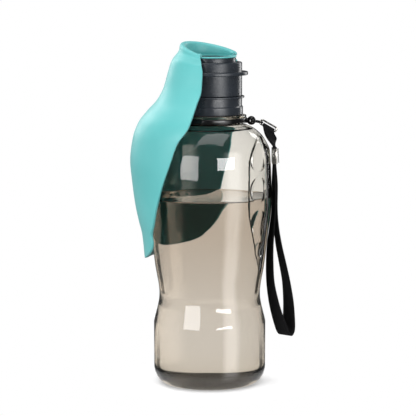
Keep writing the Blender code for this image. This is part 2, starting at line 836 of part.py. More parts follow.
def make_leaf_fold(home, finish):
    """The silicone between the collar and the hanging leaf: up the spout, over the crest and down."""
    near, far, edge_r, middle_r = leaf_curves()
    wall_r = COLLAR_R - SILICONE / 2
    low = COLLAR_TOP + FOLD_BASE_GAP
    split = LEAF_SPLIT_Z + SEAT_GAP
    peak = COLLAR_TOP + CREST_RISE
    crest_near = near(peak)
    crest_far = far(peak)
    columns = []
    for share in leaf_shares():
        angle = crest_near + (crest_far - crest_near) * share
        base_angle = crest_near + (WALL_FAR_ANGLE - crest_near) * share
        off = math.radians(angle - CREST_ANGLE)
        drop = CREST_RISE * (CREST_NEAR_SHARE if off > 0 else CREST_FAR_SHARE)
        crest = peak - SILICONE / 2 - drop * (1 - math.cos(off))
        hinge = max(crest - CREST_FOLD_R, low + FOLD_BASE_RISE)
        column = [on_circle(wall_r, base_angle, low)]
        column.append(on_circle(wall_r, (base_angle + angle) / 2, (low + hinge) / 2))
        for k in range(5):
            turn = math.pi * k / 4
            radius = wall_r + CREST_FOLD_R * (1 - math.cos(turn))
            column.append(on_circle(radius, angle, hinge + CREST_FOLD_R * math.sin(turn)))
        start_r = wall_r + 2 * CREST_FOLD_R
        for k in range(1, FOLD_ROWS + 1):
            v = k / FOLD_ROWS
            z = hinge + (split - hinge) * v
            near_z = peak - CREST_SLANT + (split - peak + CREST_SLANT) * v
            target = leaf_point(near(near_z), far(near_z), edge_r(z), middle_r(z), share, z)
            reach = math.hypot(target.x, target.y)
            blend = smooth_step(v / FOLD_BLEND)
            radius = start_r + (max(reach, start_r) - start_r) * blend
            at = near(near_z) + (far(near_z) - near(near_z)) * share
            slide = smooth_step(v / FOLD_SLIDE)
            column.append(on_circle(radius, angle + (at - angle) * slide, z))
        columns.append(column)
    rows = [list(row) for row in zip(*columns)]
    return silicone_sheet("leaf_fold", rows, home, finish)


def silicone_sheet(name, rows, home, finish):
    made = grid_object(name, rows, home, finish)
    thick = made.modifiers.new("thickness", "SOLIDIFY")
    thick.thickness = SILICONE
    thick.offset = 0.0
    shade(made.data, 60.0)
    return made


def make_neck_ring(home, cutters, finish):
    bore = NECK_R + RUNNING_GAP
    top = SUPPORT_Z - SEAT_GAP
    low = top - RING_H
    ring = turned(
        "lanyard_ring",
        (
            (bore + RING_T, top, RING_EDGE),
            (bore + RING_T, low, RING_EDGE),
            (bore, low),
            (bore, top),
        ),
        home,
        finish,
    )
    eye_z = eye_height()
    mesh = bpy.data.meshes.new("ring_eye")
    work = bmesh.new()
    bmesh.ops.create_uvsphere(work, u_segments=16, v_segments=10, radius=EYE_R)
    work.to_mesh(mesh)
    work.free()
    eye = add_object("ring_eye", mesh, cutters)
    eye.location = (EYE_X, 0.0, eye_z)
    lug_length = EYE_X - bore - RING_T / 2
    lug = rod("eye_lug", LUG_R, lug_length, ((EYE_X + bore) / 2, 0.0, eye_z), (1, 0, 0), cutters)
    cut(ring, lug, "UNION")
    cut(ring, eye, "UNION")
    hole = rod("eye_hole", EYE_HOLE_R, 4 * EYE_R, (EYE_X, 0.0, eye_z), (0, 1, 0), cutters, sides=12)
    cut(ring, hole)
    return ring


def eye_height():
    return SUPPORT_Z - SEAT_GAP - RING_H / 2 - EYE_DROP


def link_frame():
    """The wire link's inner end, its long direction and its upward direction, in the plane y = 0."""
    slope = math.radians(LINK_SLOPE)
    along = Vector((math.cos(slope), 0.0, -math.sin(slope)))
    upward = Vector((math.sin(slope), 0.0, math.cos(slope)))
    clear = LINK_WIRE_R + CORD_R + CORD_ROOM
    inner_end = Vector((CORD_REACH, 0.0, eye_height() - CORD_DROP)) - along * clear
    return inner_end, along, upward


def make_tether(home, cord_finish, metal):
    eye_z = eye_height()
    reach = CORD_REACH - EYE_X
    flat = rounded_loop(reach, 2 * CORD_HALF_WIDTH, CORD_CORNER_R)
    cord = [(EYE_X + x, y, eye_z - CORD_DROP * x / reach) for x, y in flat]
    closed_wire("tether_cord", cord, CORD_R, home, cord_finish)
    start, along, upward = link_frame()
    shape = rounded_loop(LINK_LENGTH, LINK_HEIGHT, LINK_CORNER_R)
    wire = [start + along * x + upward * y for x, y in shape]
    closed_wire("strap_link", wire, LINK_WIRE_R, home, metal)


def make_strap_tab(home, cutters, finish):
    """The doubled webbing tab: folded round the link's lower bar, it twists a quarter turn on its way
    down and enters the crimp edge-on."""
    start, along, upward = link_frame()
    bar = start + along * (LINK_LENGTH / 2 + TAB_FOLD_OFFSET) - upward * (LINK_HEIGHT / 2)
    throat = Vector((CRIMP_X, 0.0, CRIMP_TOP + TAB_THROAT_RISE))
    end = Vector((CRIMP_X, 0.0, CRIMP_TOP - INSERTION))
    stations = [(bar.lerp(throat, k / 12), k / 12) for k in range(13)]
    stations.append((end, 1.0))
    side = Vector((0.0, 1.0, 0.0))
    rows = []
    for centre, share in stations:
        ease = smooth_step(share)
        twist = math.pi / 2 * ease
        across = along.lerp(Vector((1.0, 0.0, 0.0)), ease).normalized()
        wide = (across * math.cos(twist) + side * math.sin(twist)) * (
            TAB_FOLD_LENGTH + (TAB_END_WIDTH - TAB_FOLD_LENGTH) * ease
        ) / 2
        deep = (side * math.cos(twist) - across * math.sin(twist)) * (
            TAB_FOLD_R * 0.8 + (TAB_THICKNESS / 2 - TAB_FOLD_R * 0.8) * ease
        )
        row = []
        for i in range(16):
            turn = 2 * math.pi * (i + 0.5) / 16
            a = math.copysign(abs(math.cos(turn)) ** 0.5, math.cos(turn))
            b = math.copysign(abs(math.sin(turn)) ** 0.5, math.sin(turn))
            row.append(centre + wide * a + deep * b)
        rows.append(row)
    tab = grid_object("strap_tab", rows, home, finish, wrap=True, caps=True)
    fold = rod("tab_fold", TAB_FOLD_R, TAB_FOLD_LENGTH, bar, along, cutters, sides=16)
    cut(tab, fold, "UNION")
    tunnel = rod("tab_tunnel", LINK_WIRE_R + RUNNING_GAP, TUNNEL_LENGTH, bar, along, cutters, sides=12)
    cut(tab, tunnel)
    return tab


def make_crimp(home, cutters, metal):
    middle = CRIMP_TOP - CRIMP_H / 2
    inside_x = 2 * WEBBING_T + (LAYER_SPACING - WEBBING_T) + 2 * SEAT_GAP
    inside_y = WEBBING_WIDTH + 2 * SEAT_GAP
    crimp = block(
        "strap_crimp",
        (inside_x + 2 * CRIMP_WALL, inside_y + 2 * CRIMP_WALL, CRIMP_H),
        (CRIMP_X, 0.0, middle),
        home,
    )
    crimp.data.materials.append(metal)
    hollow = block("crimp_cutter", (inside_x, inside_y, 2 * CRIMP_H), (CRIMP_X, 0.0, middle), cutters)
    cut(crimp, hollow)
    face = CRIMP_X + inside_x / 2 + CRIMP_WALL + SEAT_GAP
    rows = []
    for k in range(5):
        t = k / 4
        x = face + LEVER_SPLAY * t
        z = CRIMP_TOP - LEVER_INSET - (CRIMP_H - 2 * LEVER_INSET) * t
        half = LEVER_WIDTH / 2
        rows.append([(x, -half, z), (x, half, z), (x + LEVER_T, half, z), (x + LEVER_T, -half, z)])
    grid_object("crimp_lever", rows, home, metal, wrap=True, caps=True)
    return crimp


def closed_curve_points(points, count):
    """A smooth closed curve through the points, as count points."""
    total = len(points)
    made = []
    for i in range(count):
        place = i * total / count
        k = int(place)
        t = place - k
        p0, p1, p2, p3 = (np.array(points[(k + j - 1) % total], float) for j in range(4))
        made.append(
            0.5 * (2 * p1 + (p2 - p0) * t + (2 * p0 - 5 * p1 + 4 * p2 - p3) * t**2)
            + 0.5 * (3 * p1 - p0 - 3 * p2 + p3) * t**3
        )
    return made


def loop_route():
    """The loop's middle line as points with their yaw: through the crimp, down the inner strand, round
    the bottom and up the outer strand. The loop's own plane turns with the yaw."""
    top = CRIMP_TOP - CRIMP_H + INSERTION
    half = LAYER_SPACING / 2
    low = CRIMP_TOP - CRIMP_H - LOOP_STRAIGHT
    route = [
        (CRIMP_X + 0.7 * half, 0.0, top - LOOP_END_DEPTH, 0.0),
        (CRIMP_X - 0.7 * half, 0.0, top - LOOP_END_DEPTH, 0.0),
        (CRIMP_X - half, 0.0, top - LOOP_BEND_DEPTH, 0.0),
        (CRIMP_X - half, 0.0, low, LOOP_BEND_SHARE),
    ]
    strands = ([], [])
    for height, inner_x, outer_x, share in LOOP_STATIONS:
        middle = (inner_x + outer_x) / 2
        lean = math.tan(math.radians(LOOP_TWIST * share))
        for strand, x in zip(strands, (inner_x, outer_x)):
            strand.append((x, (x - middle) * lean, height, share))
    route += strands[0]
    route.append((LOOP_BOTTOM_X, 0.0, LOOP_BOTTOM_Z, LOOP_STATIONS[-1][3]))
    route += reversed(strands[1])
    route.append((CRIMP_X + half, 0.0, low, LOOP_BEND_SHARE))
    route.append((CRIMP_X + half, 0.0, top - LOOP_BEND_DEPTH, 0.0))
    return route


def make_wrist_loop(home, finish):
    """The hanging loop of webbing: a flat band that twists towards the front as it drops."""
    line = closed_curve_points(loop_route(), LOOP_STEPS)
    rows = []
    count = len(line)
    for i, (x, y, z, share) in enumerate(line):
        forward = (Vector(line[(i + 1) % count][:3]) - Vector(line[i - 1][:3])).normalized()
        yaw = math.radians(LOOP_TWIST * share)
        wide = Vector((-math.sin(yaw), math.cos(yaw), 0.0))
        wide = (wide - forward * wide.dot(forward)).normalized() * (WEBBING_WIDTH / 2)
        thick = forward.cross(wide).normalized() * (WEBBING_T / 2)
        centre = Vector((x, y, z))
        rows.append(
            [centre + wide + thick, centre + wide - thick, centre - wide - thick, centre - wide + thick]
        )
    rows.append(rows[0])
    made = grid_object("wrist_loop", rows, home, finish, wrap=True)
    work = bmesh.new()
    work.from_mesh(made.data)
    bmesh.ops.remove_doubles(work, verts=work.verts, dist=0.000001)
    bmesh.ops.recalc_face_normals(work, faces=work.faces)
    work.to_mesh(made.data)
    work.free()
    return made


def main():
    clear_scene()
    home = collection(PARTS)
    cutters = collection(CUTTERS)
    clear_plastic = material("smoke_clear_plastic", "#8A7C6D", 0.05, transmission=0.9)
    charcoal = material("charcoal_plastic", "#4A4C53", 0.3)
    black_plastic = material("black_plastic", "#141416", 0.25)
    teal = material("teal_silicone", "#72CFC6", 0.5)
    seal = material("pale_silicone", "#D9DAD6", 0.5)
    webbing = material("black_webbing", "#17171A", 0.85)
    metal = material("bright_metal", "#B9B6AE", 0.25, metallic=1.0)
    make_bottle(home, clear_plastic)
    make_cap(home, cutters, charcoal, seal, charcoal)
    make_spout(home, charcoal, seal)
    make_leaf_seat(home, teal, charcoal)
    make_leaf_fold(home, teal)
    make_leaf_cup(home, teal)
    make_neck_ring(home, cutters, black_plastic)
    make_tether(home, webbing, metal)
    make_strap_tab(home, cutters, webbing)
    make_crimp(home, cutters, metal)
    make_wrist_loop(home, webbing)


main()
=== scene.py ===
"""Looks for the dog travel water bottle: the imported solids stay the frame, and finer meshes with
procedural materials stand for them. Metres, +Z up, base at z = 0, front at -Y, strap at +X. The sizes
of the turned pieces, the leaf and the wrist loop are in millimetres. Angles round the bottle are in
degrees from the front, positive towards the right."""

import math

import bmesh
import bpy
import numpy as np
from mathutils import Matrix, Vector


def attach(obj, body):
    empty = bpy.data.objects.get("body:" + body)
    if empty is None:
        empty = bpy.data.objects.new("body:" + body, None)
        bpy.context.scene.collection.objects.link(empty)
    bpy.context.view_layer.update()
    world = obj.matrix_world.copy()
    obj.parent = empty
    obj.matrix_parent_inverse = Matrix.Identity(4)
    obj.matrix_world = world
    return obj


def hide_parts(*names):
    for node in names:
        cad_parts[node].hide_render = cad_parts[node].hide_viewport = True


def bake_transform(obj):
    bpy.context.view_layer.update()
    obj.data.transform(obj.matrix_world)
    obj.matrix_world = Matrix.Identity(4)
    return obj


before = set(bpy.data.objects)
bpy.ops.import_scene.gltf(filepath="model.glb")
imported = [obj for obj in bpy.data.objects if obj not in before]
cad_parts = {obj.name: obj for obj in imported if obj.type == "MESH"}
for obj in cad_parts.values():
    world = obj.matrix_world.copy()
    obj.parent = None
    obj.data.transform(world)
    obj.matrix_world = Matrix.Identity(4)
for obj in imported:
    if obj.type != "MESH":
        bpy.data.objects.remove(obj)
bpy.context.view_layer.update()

MM = 0.001

# Materials. A Mix node has its two colours at inputs 6 and 7 and the mixed colour at output 2. A soft
# noise lies mostly between 0.3 and 0.7.
COLOUR_A = 6
COLOUR_B = 7
MIXED_COLOUR = 2
NOISE_LOW = 0.3
NOISE_HIGH = 0.7
WEAVE_PITCH = 0.9


def linear(hex_colour):
    """An sRGB hex colour as linear red, green and blue, with full alpha."""
    parts = [int(hex_colour[i : i + 2], 16) / 255 for i in (1, 3, 5)]
    curve = [c / 12.92 if c <= 0.04045 else ((c + 0.055) / 1.055) ** 2.4 for c in parts]
    return (*curve, 1.0)


def add_node(tree, kind, inputs=(), **settings):
    """A node with its settings. Inputs, in order or by name or number, take a value or an output."""
    node = tree.nodes.new(kind)
    for name, value in settings.items():
        setattr(node, name, value)
    for key, value in inputs.items() if isinstance(inputs, dict) else enumerate(inputs):
        if isinstance(value, bpy.types.NodeSocket):
            tree.links.new(value, node.inputs[key])
        else:
            node.inputs[key].default_value = value
    return node


def empty_material(name):
    made = bpy.data.materials.new(name)
    made.use_nodes = True
    made.node_tree.nodes.clear()
    return made, made.node_tree


def moulded_plastic(name, first, second, smoothest, roughest):
    """Injection-moulded plastic with a satin or gloss skin. Its colour drifts a little over 17 mm and its
    shine over 6 mm. The mould's fine grit shows as a grain, drawn as coarse as 0.35 mm."""
    made, tree = empty_material(name)
    where = add_node(tree, "ShaderNodeTexCoord").outputs["Object"]
    values = []
    for size_mm, detail, low, high in (
        (16.667, 3.0, 0.0, 1.0), (5.5556, 3.0, smoothest, roughest), (0.35, 2.0, 0.0, 1.0),
    ):
        scale = 1 / (size_mm * MM)
        noise = add_node(tree, "ShaderNodeTexNoise", {"Vector": where, "Scale": scale, "Detail": detail})
        span = (noise.outputs["Fac"], NOISE_LOW, NOISE_HIGH, low, high)
        values.append(add_node(tree, "ShaderNodeMapRange", span).outputs["Result"])
    drift, shine, grit = values
    colours = {0: drift, COLOUR_A: linear(first), COLOUR_B: linear(second)}
    colour = add_node(tree, "ShaderNodeMix", colours, data_type="RGBA")
    grain = add_node(tree, "ShaderNodeBump", {"Height": grit, "Distance": 0.01 * MM, "Strength": 1.0})
    shader = add_node(
        tree,
        "ShaderNodeBsdfPrincipled",
        {
            "Base Color": colour.outputs[MIXED_COLOUR],
            "Roughness": shine,
            "Normal": grain.outputs["Normal"],
        },
    )
    add_node(tree, "ShaderNodeOutputMaterial", {"Surface": shader.outputs["BSDF"]})
    return made


def blow_moulded_copolyester(name):
    """Copolyester tinted smoke and blow-moulded: bright as glass, with slow ripples 22 mm across in its
    wall. The tint is in the plastic itself, so that a wall is darkest where it is seen edge-on."""
    made, tree = empty_material(name)
    where = add_node(tree, "ShaderNodeTexCoord").outputs["Object"]
    values = []
    for size_mm, detail, low, high in ((11.111, 3.0, 0.012, 0.028), (22.222, 1.0, 0.0, 1.0)):
        scale = 1 / (size_mm * MM)
        noise = add_node(tree, "ShaderNodeTexNoise", {"Vector": where, "Scale": scale, "Detail": detail})
        span = (noise.outputs["Fac"], NOISE_LOW, NOISE_HIGH, low, high)
        values.append(add_node(tree, "ShaderNodeMapRange", span).outputs["Result"])
    haze, ripple = values
    waves = add_node(tree, "ShaderNodeBump", {"Height": ripple, "Distance": 0.05 * MM, "Strength": 0.5})
    shader = add_node(
        tree,
        "ShaderNodeBsdfPrincipled",
        {
            "Base Color": linear("#FBFAF8"),
            "Roughness": haze,
            "IOR": 1.52,
            "Transmission Weight": 1.0,
            "Normal": waves.outputs["Normal"],
        },
    )
    tint = add_node(tree, "ShaderNodeVolumeAbsorption", {"Color": linear("#BFA645"), "Density": 52.0})
    ends = {"Surface": shader.outputs["BSDF"], "Volume": tint.outputs["Volume"]}
    add_node(tree, "ShaderNodeOutputMaterial", ends)
    return made


def still_water(name):
    """Still water: perfectly smooth. Its brownish tint, deepening towards its surface, is painted shade
    that stands in for the darker surroundings seen through it.
    """
    made, tree = empty_material(name)
    where = add_node(tree, "ShaderNodeTexCoord").outputs["Object"]
    height = add_node(tree, "ShaderNodeSeparateXYZ", (where,)).outputs["Z"]
    # Painted shade: the water's colour darkens from 35 mm up to 100 mm above the base
    rise = add_node(tree, "ShaderNodeMapRange", {"Value": height, "From Min": 0.035, "From Max": 0.1})
    colours = {0: rise.outputs["Result"], COLOUR_A: linear("#EEE8E3"), COLOUR_B: linear("#D6CABE")}
    colour = add_node(tree, "ShaderNodeMix", colours, data_type="RGBA")
    shader = add_node(
        tree,
        "ShaderNodeBsdfPrincipled",
        {
            "Base Color": colour.outputs[MIXED_COLOUR],
            "Roughness": 0.0,
            "IOR": 1.33,
            "Transmission Weight": 1.0,
        },
    )
    add_node(tree, "ShaderNodeOutputMaterial", {"Surface": shader.outputs["BSDF"]})
    return made


def moulded_silicone(name, first, second, roughness):
    """Moulded silicone rubber: a matt, powdery skin that lets a little light in. Its colour drifts over
    29 mm and its shine over 8 mm, with a skin grain drawn as coarse as 0.38 mm."""
    made, tree = empty_material(name)
    where = add_node(tree, "ShaderNodeTexCoord").outputs["Object"]
    values = []
    for size_mm, detail, low, high in (
        (28.571, 3.0, 0.0, 1.0), (8.3333, 3.0, roughness - 0.05, roughness + 0.07),
        (0.384615, 2.0, 0.0, 1.0),
    ):
        scale = 1 / (size_mm * MM)
        noise = add_node(tree, "ShaderNodeTexNoise", {"Vector": where, "Scale": scale, "Detail": detail})
        span = (noise.outputs["Fac"], NOISE_LOW, NOISE_HIGH, low, high)
        values.append(add_node(tree, "ShaderNodeMapRange", span).outputs["Result"])
    drift, matt, skin = values
    colours = {0: drift, COLOUR_A: linear(first), COLOUR_B: linear(second)}
    colour = add_node(tree, "ShaderNodeMix", colours, data_type="RGBA")
    grain = add_node(tree, "ShaderNodeBump", {"Height": skin, "Distance": 0.012 * MM, "Strength": 1.0})
    shader = add_node(
        tree,
        "ShaderNodeBsdfPrincipled",
        {
            "Base Color": colour.outputs[MIXED_COLOUR],
            "Roughness": matt,
            "Subsurface Weight": 0.03,
            "Subsurface Radius": (0.4, 0.9, 0.8),
            "Subsurface Scale": 0.8 * MM,
            "Sheen Weight": 0.12,
            "Normal": grain.outputs["Normal"],
        },
    )
    add_node(tree, "ShaderNodeOutputMaterial", {"Surface": shader.outputs["BSDF"]})
    return made


def woven_polyester(name, first, second):
    """Woven polyester tape: dull, with the crossings of its threads as small bumps 0.9 mm apart. It lies
    on UVs in millimetres along the tape and across it."""
    made, tree = empty_material(name)
    where = add_node(tree, "ShaderNodeTexCoord").outputs["UV"]
    on_tape = add_node(tree, "ShaderNodeSeparateXYZ", (where,)).outputs
    threads = []
    for axis in ("X", "Y"):
        turn = (on_tape[axis], 2 * math.pi / WEAVE_PITCH)
        angle = add_node(tree, "ShaderNodeMath", turn, operation="MULTIPLY").outputs[0]
        threads.append(add_node(tree, "ShaderNodeMath", (angle,), operation="SINE").outputs[0])
    weave = add_node(tree, "ShaderNodeMath", threads, operation="MULTIPLY").outputs[0]
    height = add_node(tree, "ShaderNodeMapRange", (weave, -1.0, 1.0)).outputs["Result"]
    colours = {0: height, COLOUR_A: linear(first), COLOUR_B: linear(second)}
    colour = add_node(tree, "ShaderNodeMix", colours, data_type="RGBA")
    bumps = add_node(tree, "ShaderNodeBump", {"Height": height, "Distance": 0.12 * MM, "Strength": 1.0})
    shader = add_node(
        tree,
        "ShaderNodeBsdfPrincipled",
        {
            "Base Color": colour.outputs[MIXED_COLOUR],
            "Roughness": 0.85,
            "Specular IOR Level": 0.25,
            "Normal": bumps.outputs["Normal"],
        },
    )
    add_node(tree, "ShaderNodeOutputMaterial", {"Surface": shader.outputs["BSDF"]})
    return made


def polished_steel(name, colour):
    """Steel, bent or folded and polished: bright, with wear that dulls it in spots 1.4 mm across and
    fine scuffs drawn as coarse as 0.56 mm."""
    made, tree = empty_material(name)
    where = add_node(tree, "ShaderNodeTexCoord").outputs["Object"]
    values = []
    for size_mm, low, high in ((1.42857, 0.12, 0.24), (0.555556, 0.0, 1.0)):
        scale = 1 / (size_mm * MM)
        noise = add_node(tree, "ShaderNodeTexNoise", {"Vector": where, "Scale": scale, "Detail": 3.0})
        span = (noise.outputs["Fac"], NOISE_LOW, NOISE_HIGH, low, high)
        values.append(add_node(tree, "ShaderNodeMapRange", span).outputs["Result"])
    wear, scuffs = values
    marks = add_node(tree, "ShaderNodeBump", {"Height": scuffs, "Distance": 0.01 * MM, "Strength": 1.0})
    shader = add_node(
        tree,
        "ShaderNodeBsdfPrincipled",
        {
            "Base Color": linear(colour),
            "Metallic": 1.0,
            "Roughness": wear,
            "Normal": marks.outputs["Normal"],
        },
    )
    add_node(tree, "ShaderNodeOutputMaterial", {"Surface": shader.outputs["BSDF"]})
    return made


SMOKE = blow_moulded_copolyester("smoke_copolyester_blow_moulded")
WATER = still_water("still_water")
CHARCOAL = moulded_plastic("charcoal_plastic_satin_moulded", "#2B3036", "#31363D", 0.2, 0.3)
BLACK = moulded_plastic("black_plastic_gloss_moulded", "#0B0B0C", "#111113", 0.12, 0.22)
TEAL = moulded_silicone("teal_silicone_moulded", "#5CBABA", "#66C1C1", 0.42)
SEAL = moulded_silicone("pale_silicone_moulded", "#D8DAD6", "#E2E4E0", 0.45)
WEBBING = woven_polyester("black_polyester_woven", "#050506", "#141416")
STEEL = polished_steel("steel_polished", "#CFCBC4")


# Mesh helpers
def add_mesh(name, verts, faces, finish, smooth_angle=40.0, uvs=None):
    """An object with one finish, its faces turned outwards, sharp only past the smooth angle."""
    mesh = bpy.data.meshes.new(name)
    mesh.from_pydata([tuple(v) for v in verts], [], faces)
    mesh.validate()
    if uvs is not None:
        layer = mesh.uv_layers.new(name="UVMap")
        for loop in mesh.loops:
            layer.data[loop.index].uv = uvs[loop.vertex_index]
    work = bmesh.new()
    work.from_mesh(mesh)
    bmesh.ops.remove_doubles(work, verts=work.verts, dist=0.0005 * MM)
    bmesh.ops.recalc_face_normals(work, faces=work.faces)
    work.to_mesh(mesh)
    work.free()
    mesh.shade_smooth()
    mesh.set_sharp_from_angle(angle=math.radians(smooth_angle))
    made = bpy.data.objects.new(name, mesh)
    bpy.context.scene.collection.objects.link(made)
    mesh.materials.append(finish)
    return made


def apply_modifiers(made):
    graph = bpy.context.evaluated_depsgraph_get()
    mesh = bpy.data.meshes.new_from_object(made.evaluated_get(graph))
    made.modifiers.clear()
    made.data = mesh


def grid_faces(rows, columns, wrap=False):
    """Faces between rows of points, joined round where the rows are closed."""
    faces = []
    span = columns if wrap else columns - 1
    for r in range(rows - 1):
        for c in range(span):
            d = (c + 1) % columns
            faces.append((r * columns + c, r * columns + d, (r + 1) * columns + d, (r + 1) * columns + c))
    return faces


def smooth_curve(xs, ys):
    """A curve through points that never swings past them, as a function."""
    xs = np.asarray(xs, float)
    ys = np.asarray(ys, float)
    steps = np.diff(xs)
    slopes = np.diff(ys) / steps
    tangents = np.zeros(len(xs))
    for i in range(1, len(xs) - 1):
        if slopes[i - 1] * slopes[i] > 0:
            before = 2 * steps[i] + steps[i - 1]
            after = steps[i] + 2 * steps[i - 1]
            tangents[i] = (before + after) / (before / slopes[i - 1] + after / slopes[i])
    tangents[0] = slopes[0]
    tangents[-1] = slopes[-1]

    def value(x):
        x = min(max(x, xs[0]), xs[-1])
        i = min(int(np.searchsorted(xs, x, side="right")) - 1, len(steps) - 1)
        t = (x - xs[i]) / steps[i]
        start = (1 + 2 * t) * (1 - t) ** 2 * ys[i] + t * (1 - t) ** 2 * steps[i] * tangents[i]
        end = t**2 * (3 - 2 * t) * ys[i + 1] + t**2 * (t - 1) * steps[i] * tangents[i + 1]
        return float(start + end)

    return value


def smooth_step(t):
    t = min(max(t, 0.0), 1.0)
    return t * t * (3 - 2 * t)


def on_circle(radius, angle, z):
    """The point in metres at a radius and a height in millimetres and an angle in degrees."""
    turn = math.radians(angle)
    radius *= MM
    return Vector((radius * math.sin(turn), -radius * math.cos(turn), z * MM))


def filleted(corners, steps):
    """A closed outline of (radius, height, fillet) corners with its fillets drawn as short curves."""
    points = []
    for i, corner in enumerate(corners):
        here = Vector(corner[:2])
        fillet = corner[2] if len(corner) > 2 else 0.0
        if not fillet:
            points.append(here)
            continue
        before = Vector(corners[i - 1][:2]) - here
        after = Vector(corners[(i + 1) % len(corners)][:2]) - here
        start = here + before.normalized() * min(fillet, before.length * 0.49)
        end = here + after.normalized() * min(fillet, after.length * 0.49)
        for k in range(steps + 1):
            t = k / steps
            points.append((1 - t) ** 2 * start + 2 * t * (1 - t) * here + t**2 * end)
    return points


def lathe(name, corners, finish, steps=120, fillet_steps=5):
    """A turned ring or shell from a closed profile of (radius, height, fillet) in millimetres."""
    points = filleted([tuple(v * MM for v in c) for c in corners], fillet_steps)
    verts = []
    for p in points:
        for k in range(steps):
            turn = 2 * math.pi * k / steps
            verts.append((p.x * math.cos(turn), p.x * math.sin(turn), p.y))
    faces = grid_faces(len(points), steps, wrap=True)
    last = (len(points) - 1) * steps
    faces += [(last + c, last + (c + 1) % steps, (c + 1) % steps, c) for c in range(steps)]
    return add_mesh(name, verts, faces, finish)


def tube(name, points, radius, finish, closed=True, sides=14):
    """Round wire or cord through a list of points, with a frame carried along it."""
    points = [Vector(p) for p in points]
    count = len(points)
    verts = []
    side = None
    for i, here in enumerate(points):
        after = points[(i + 1) % count] if closed or i < count - 1 else here
        before = points[i - 1] if closed or i > 0 else here
        forward = (after - before).normalized()
        if side is None:
            side = forward.orthogonal().normalized()
        side = (side - forward * side.dot(forward)).normalized()
        up = forward.cross(side)
        for k in range(sides):
            turn = 2 * math.pi * k / sides
            verts.append(here + (side * math.cos(turn) + up * math.sin(turn)) * radius)
    faces = grid_faces(count, sides, wrap=True)
    if closed:
        last = (count - 1) * sides
        offset = min(range(sides), key=lambda k: (verts[last] - verts[k]).length)
        faces += [
            (last + c, last + (c + 1) % sides, (c + 1 + offset) % sides, (c + offset) % sides)
            for c in range(sides)
        ]
    else:
        faces.append(tuple(range(sides)))
        faces.append(tuple(reversed(range((count - 1) * sides, count * sides))))
    return add_mesh(name, verts, faces, finish, 60.0)


def rounded_loop(length, height, corner, per_corner=8):
    """A long closed loop with round corners, in its own plane."""
    points = []
    centres = (
        (length - corner, height / 2 - corner, 0.0),
        (corner, height / 2 - corner, 90.0),
        (corner, corner - height / 2, 180.0),
        (length - corner, corner - height / 2, 270.0),
    )
    for x, y, start in centres:
        for k in range(per_corner + 1):
            turn = math.radians(start + 90.0 * k / per_corner)
            points.append((x + corner * math.cos(turn), y + corner * math.sin(turn)))
    return points


# Bottle and water. The side's profile is a list of (height, radius), the others are (radius, height).
SIDE = (
    (40.0, 36.4), (58.6, 32.8), (78.0, 35.6), (96.5, 37.8), (118.0, 40.2), (151.0, 39.1),
    (160.2, 35.1), (166.7, 28.4), (168.9, 23.6),
)
BELLY_R = 40.2
RIM_Z = 182.3
WALL = 1.8
FLOOR = 2.4
BASE_TOP = 40.0
GRIP_LOW_Z = 72.0
SHOULDER_TOP = 168.9
NECK_OUTSIDE = (
    (18.6, RIM_Z), (18.6, 175.1), (23.5, 175.1), (23.7, 174.9), (23.7, 174.1), (23.5, 173.9),
    (21.0, 173.9), (21.0, 169.9), (21.6, 169.3),
)
NECK_INSIDE = ((22.2, 167.3), (17.6, 169.6), (16.8, 171.0), (16.8, RIM_Z), (18.6, RIM_Z))
SHOULDER_INSIDE_Z = 166.5
FOOT_R = 28.6
FOOT_CORNER_R = 7.8
FOOT_CORNER_H = 11.7
STAND_R = 25.5
PUSH_UP = ((22.5, 0.5), (18.0, 1.6), (12.0, 2.7), (6.0, 3.2), (0.0, 3.3))
FLOOR_EDGE = (26.8, FLOOR)
FLOOR_CORNER = ((30.6, 4.2), (33.2, 8.0), (34.2, 14.0))
BOTTLE_COLUMNS = 280
WATER_COLUMNS = 200
WATER_ROWS = 100
WAIST_ROWS = 30
SIDE_ROWS = 170
FOOT_ROWS = 12

# Finger grip: a long panel pressed in beside the strap, with four dimples of (height, radius)
GRIP_X = 32.7
GRIP_HALF_WIDTH = 11.2
GRIP_TOP = 162.0
GRIP_BOTTOM = 73.0
GRIP_DEPTH = 1.3
GRIP_EDGE = 1.8
DIMPLES = ((149.1, 9.0), (128.5, 8.6), (107.3, 9.0), (88.5, 6.0))
DIMPLE_DEPTH = 2.2
DIMPLE_ROUNDNESS = 1.05
GRIP_CROWDING = 0.6
# How fast the panel widens from each of its ends, and how round those ends are
LOW_END = (2.2, 0.7)
HIGH_END = (6.0, 0.5)
# Nothing is pressed in nearer to the axis than this
AXIS_R = 1.0

# The water reaches a hair into the wall, so that no film of air shows between them
WATER_LEVEL = 121.7
WATER_OVERLAP = 0.05
# The side's rows stop this far below the level, and the water's edge is a list of (inwards, upwards)
MENISCUS_ROOM = 0.8
MENISCUS = ((0.0, 0.7), (0.6, 0.2), (1.8, 0.0))

THREAD_LOW = 176.6
THREAD_RISE = 4.6
THREAD_TURNS = 1.6
THREAD_R = 18.55
THREAD_SWELL = 0.35
THREAD_WIRE = 0.45
THREAD_FADE = 0.4
THREAD_STEPS = 180

side_radius = smooth_curve([p[0] for p in SIDE], [p[1] for p in SIDE])


def grip_press(angle, z):
    """How far the finger grip is pressed in at a point of the bottle's side."""
    share = (z - GRIP_BOTTOM) / (GRIP_TOP - GRIP_BOTTOM)
    if not 0.0 < share < 1.0:
        return 0.0
    reach = side_radius(z)
    middle = math.degrees(math.asin(GRIP_X / reach))
    off = (angle - middle + 180.0) % 360.0 - 180.0
    along = math.radians(off) * reach
    low = min(1.0, LOW_END[0] * share) ** LOW_END[1]
    taper = low * min(1.0, HIGH_END[0] * (1.0 - share)) ** HIGH_END[1]
    depth = GRIP_DEPTH * smooth_step((GRIP_HALF_WIDTH * taper - abs(along)) / GRIP_EDGE)
    for height, radius in DIMPLES:
        distance = math.hypot(along, z - height)
        if distance < radius:
            depth += DIMPLE_DEPTH * (1.0 - (distance / radius) ** 2) ** DIMPLE_ROUNDNESS
    return depth


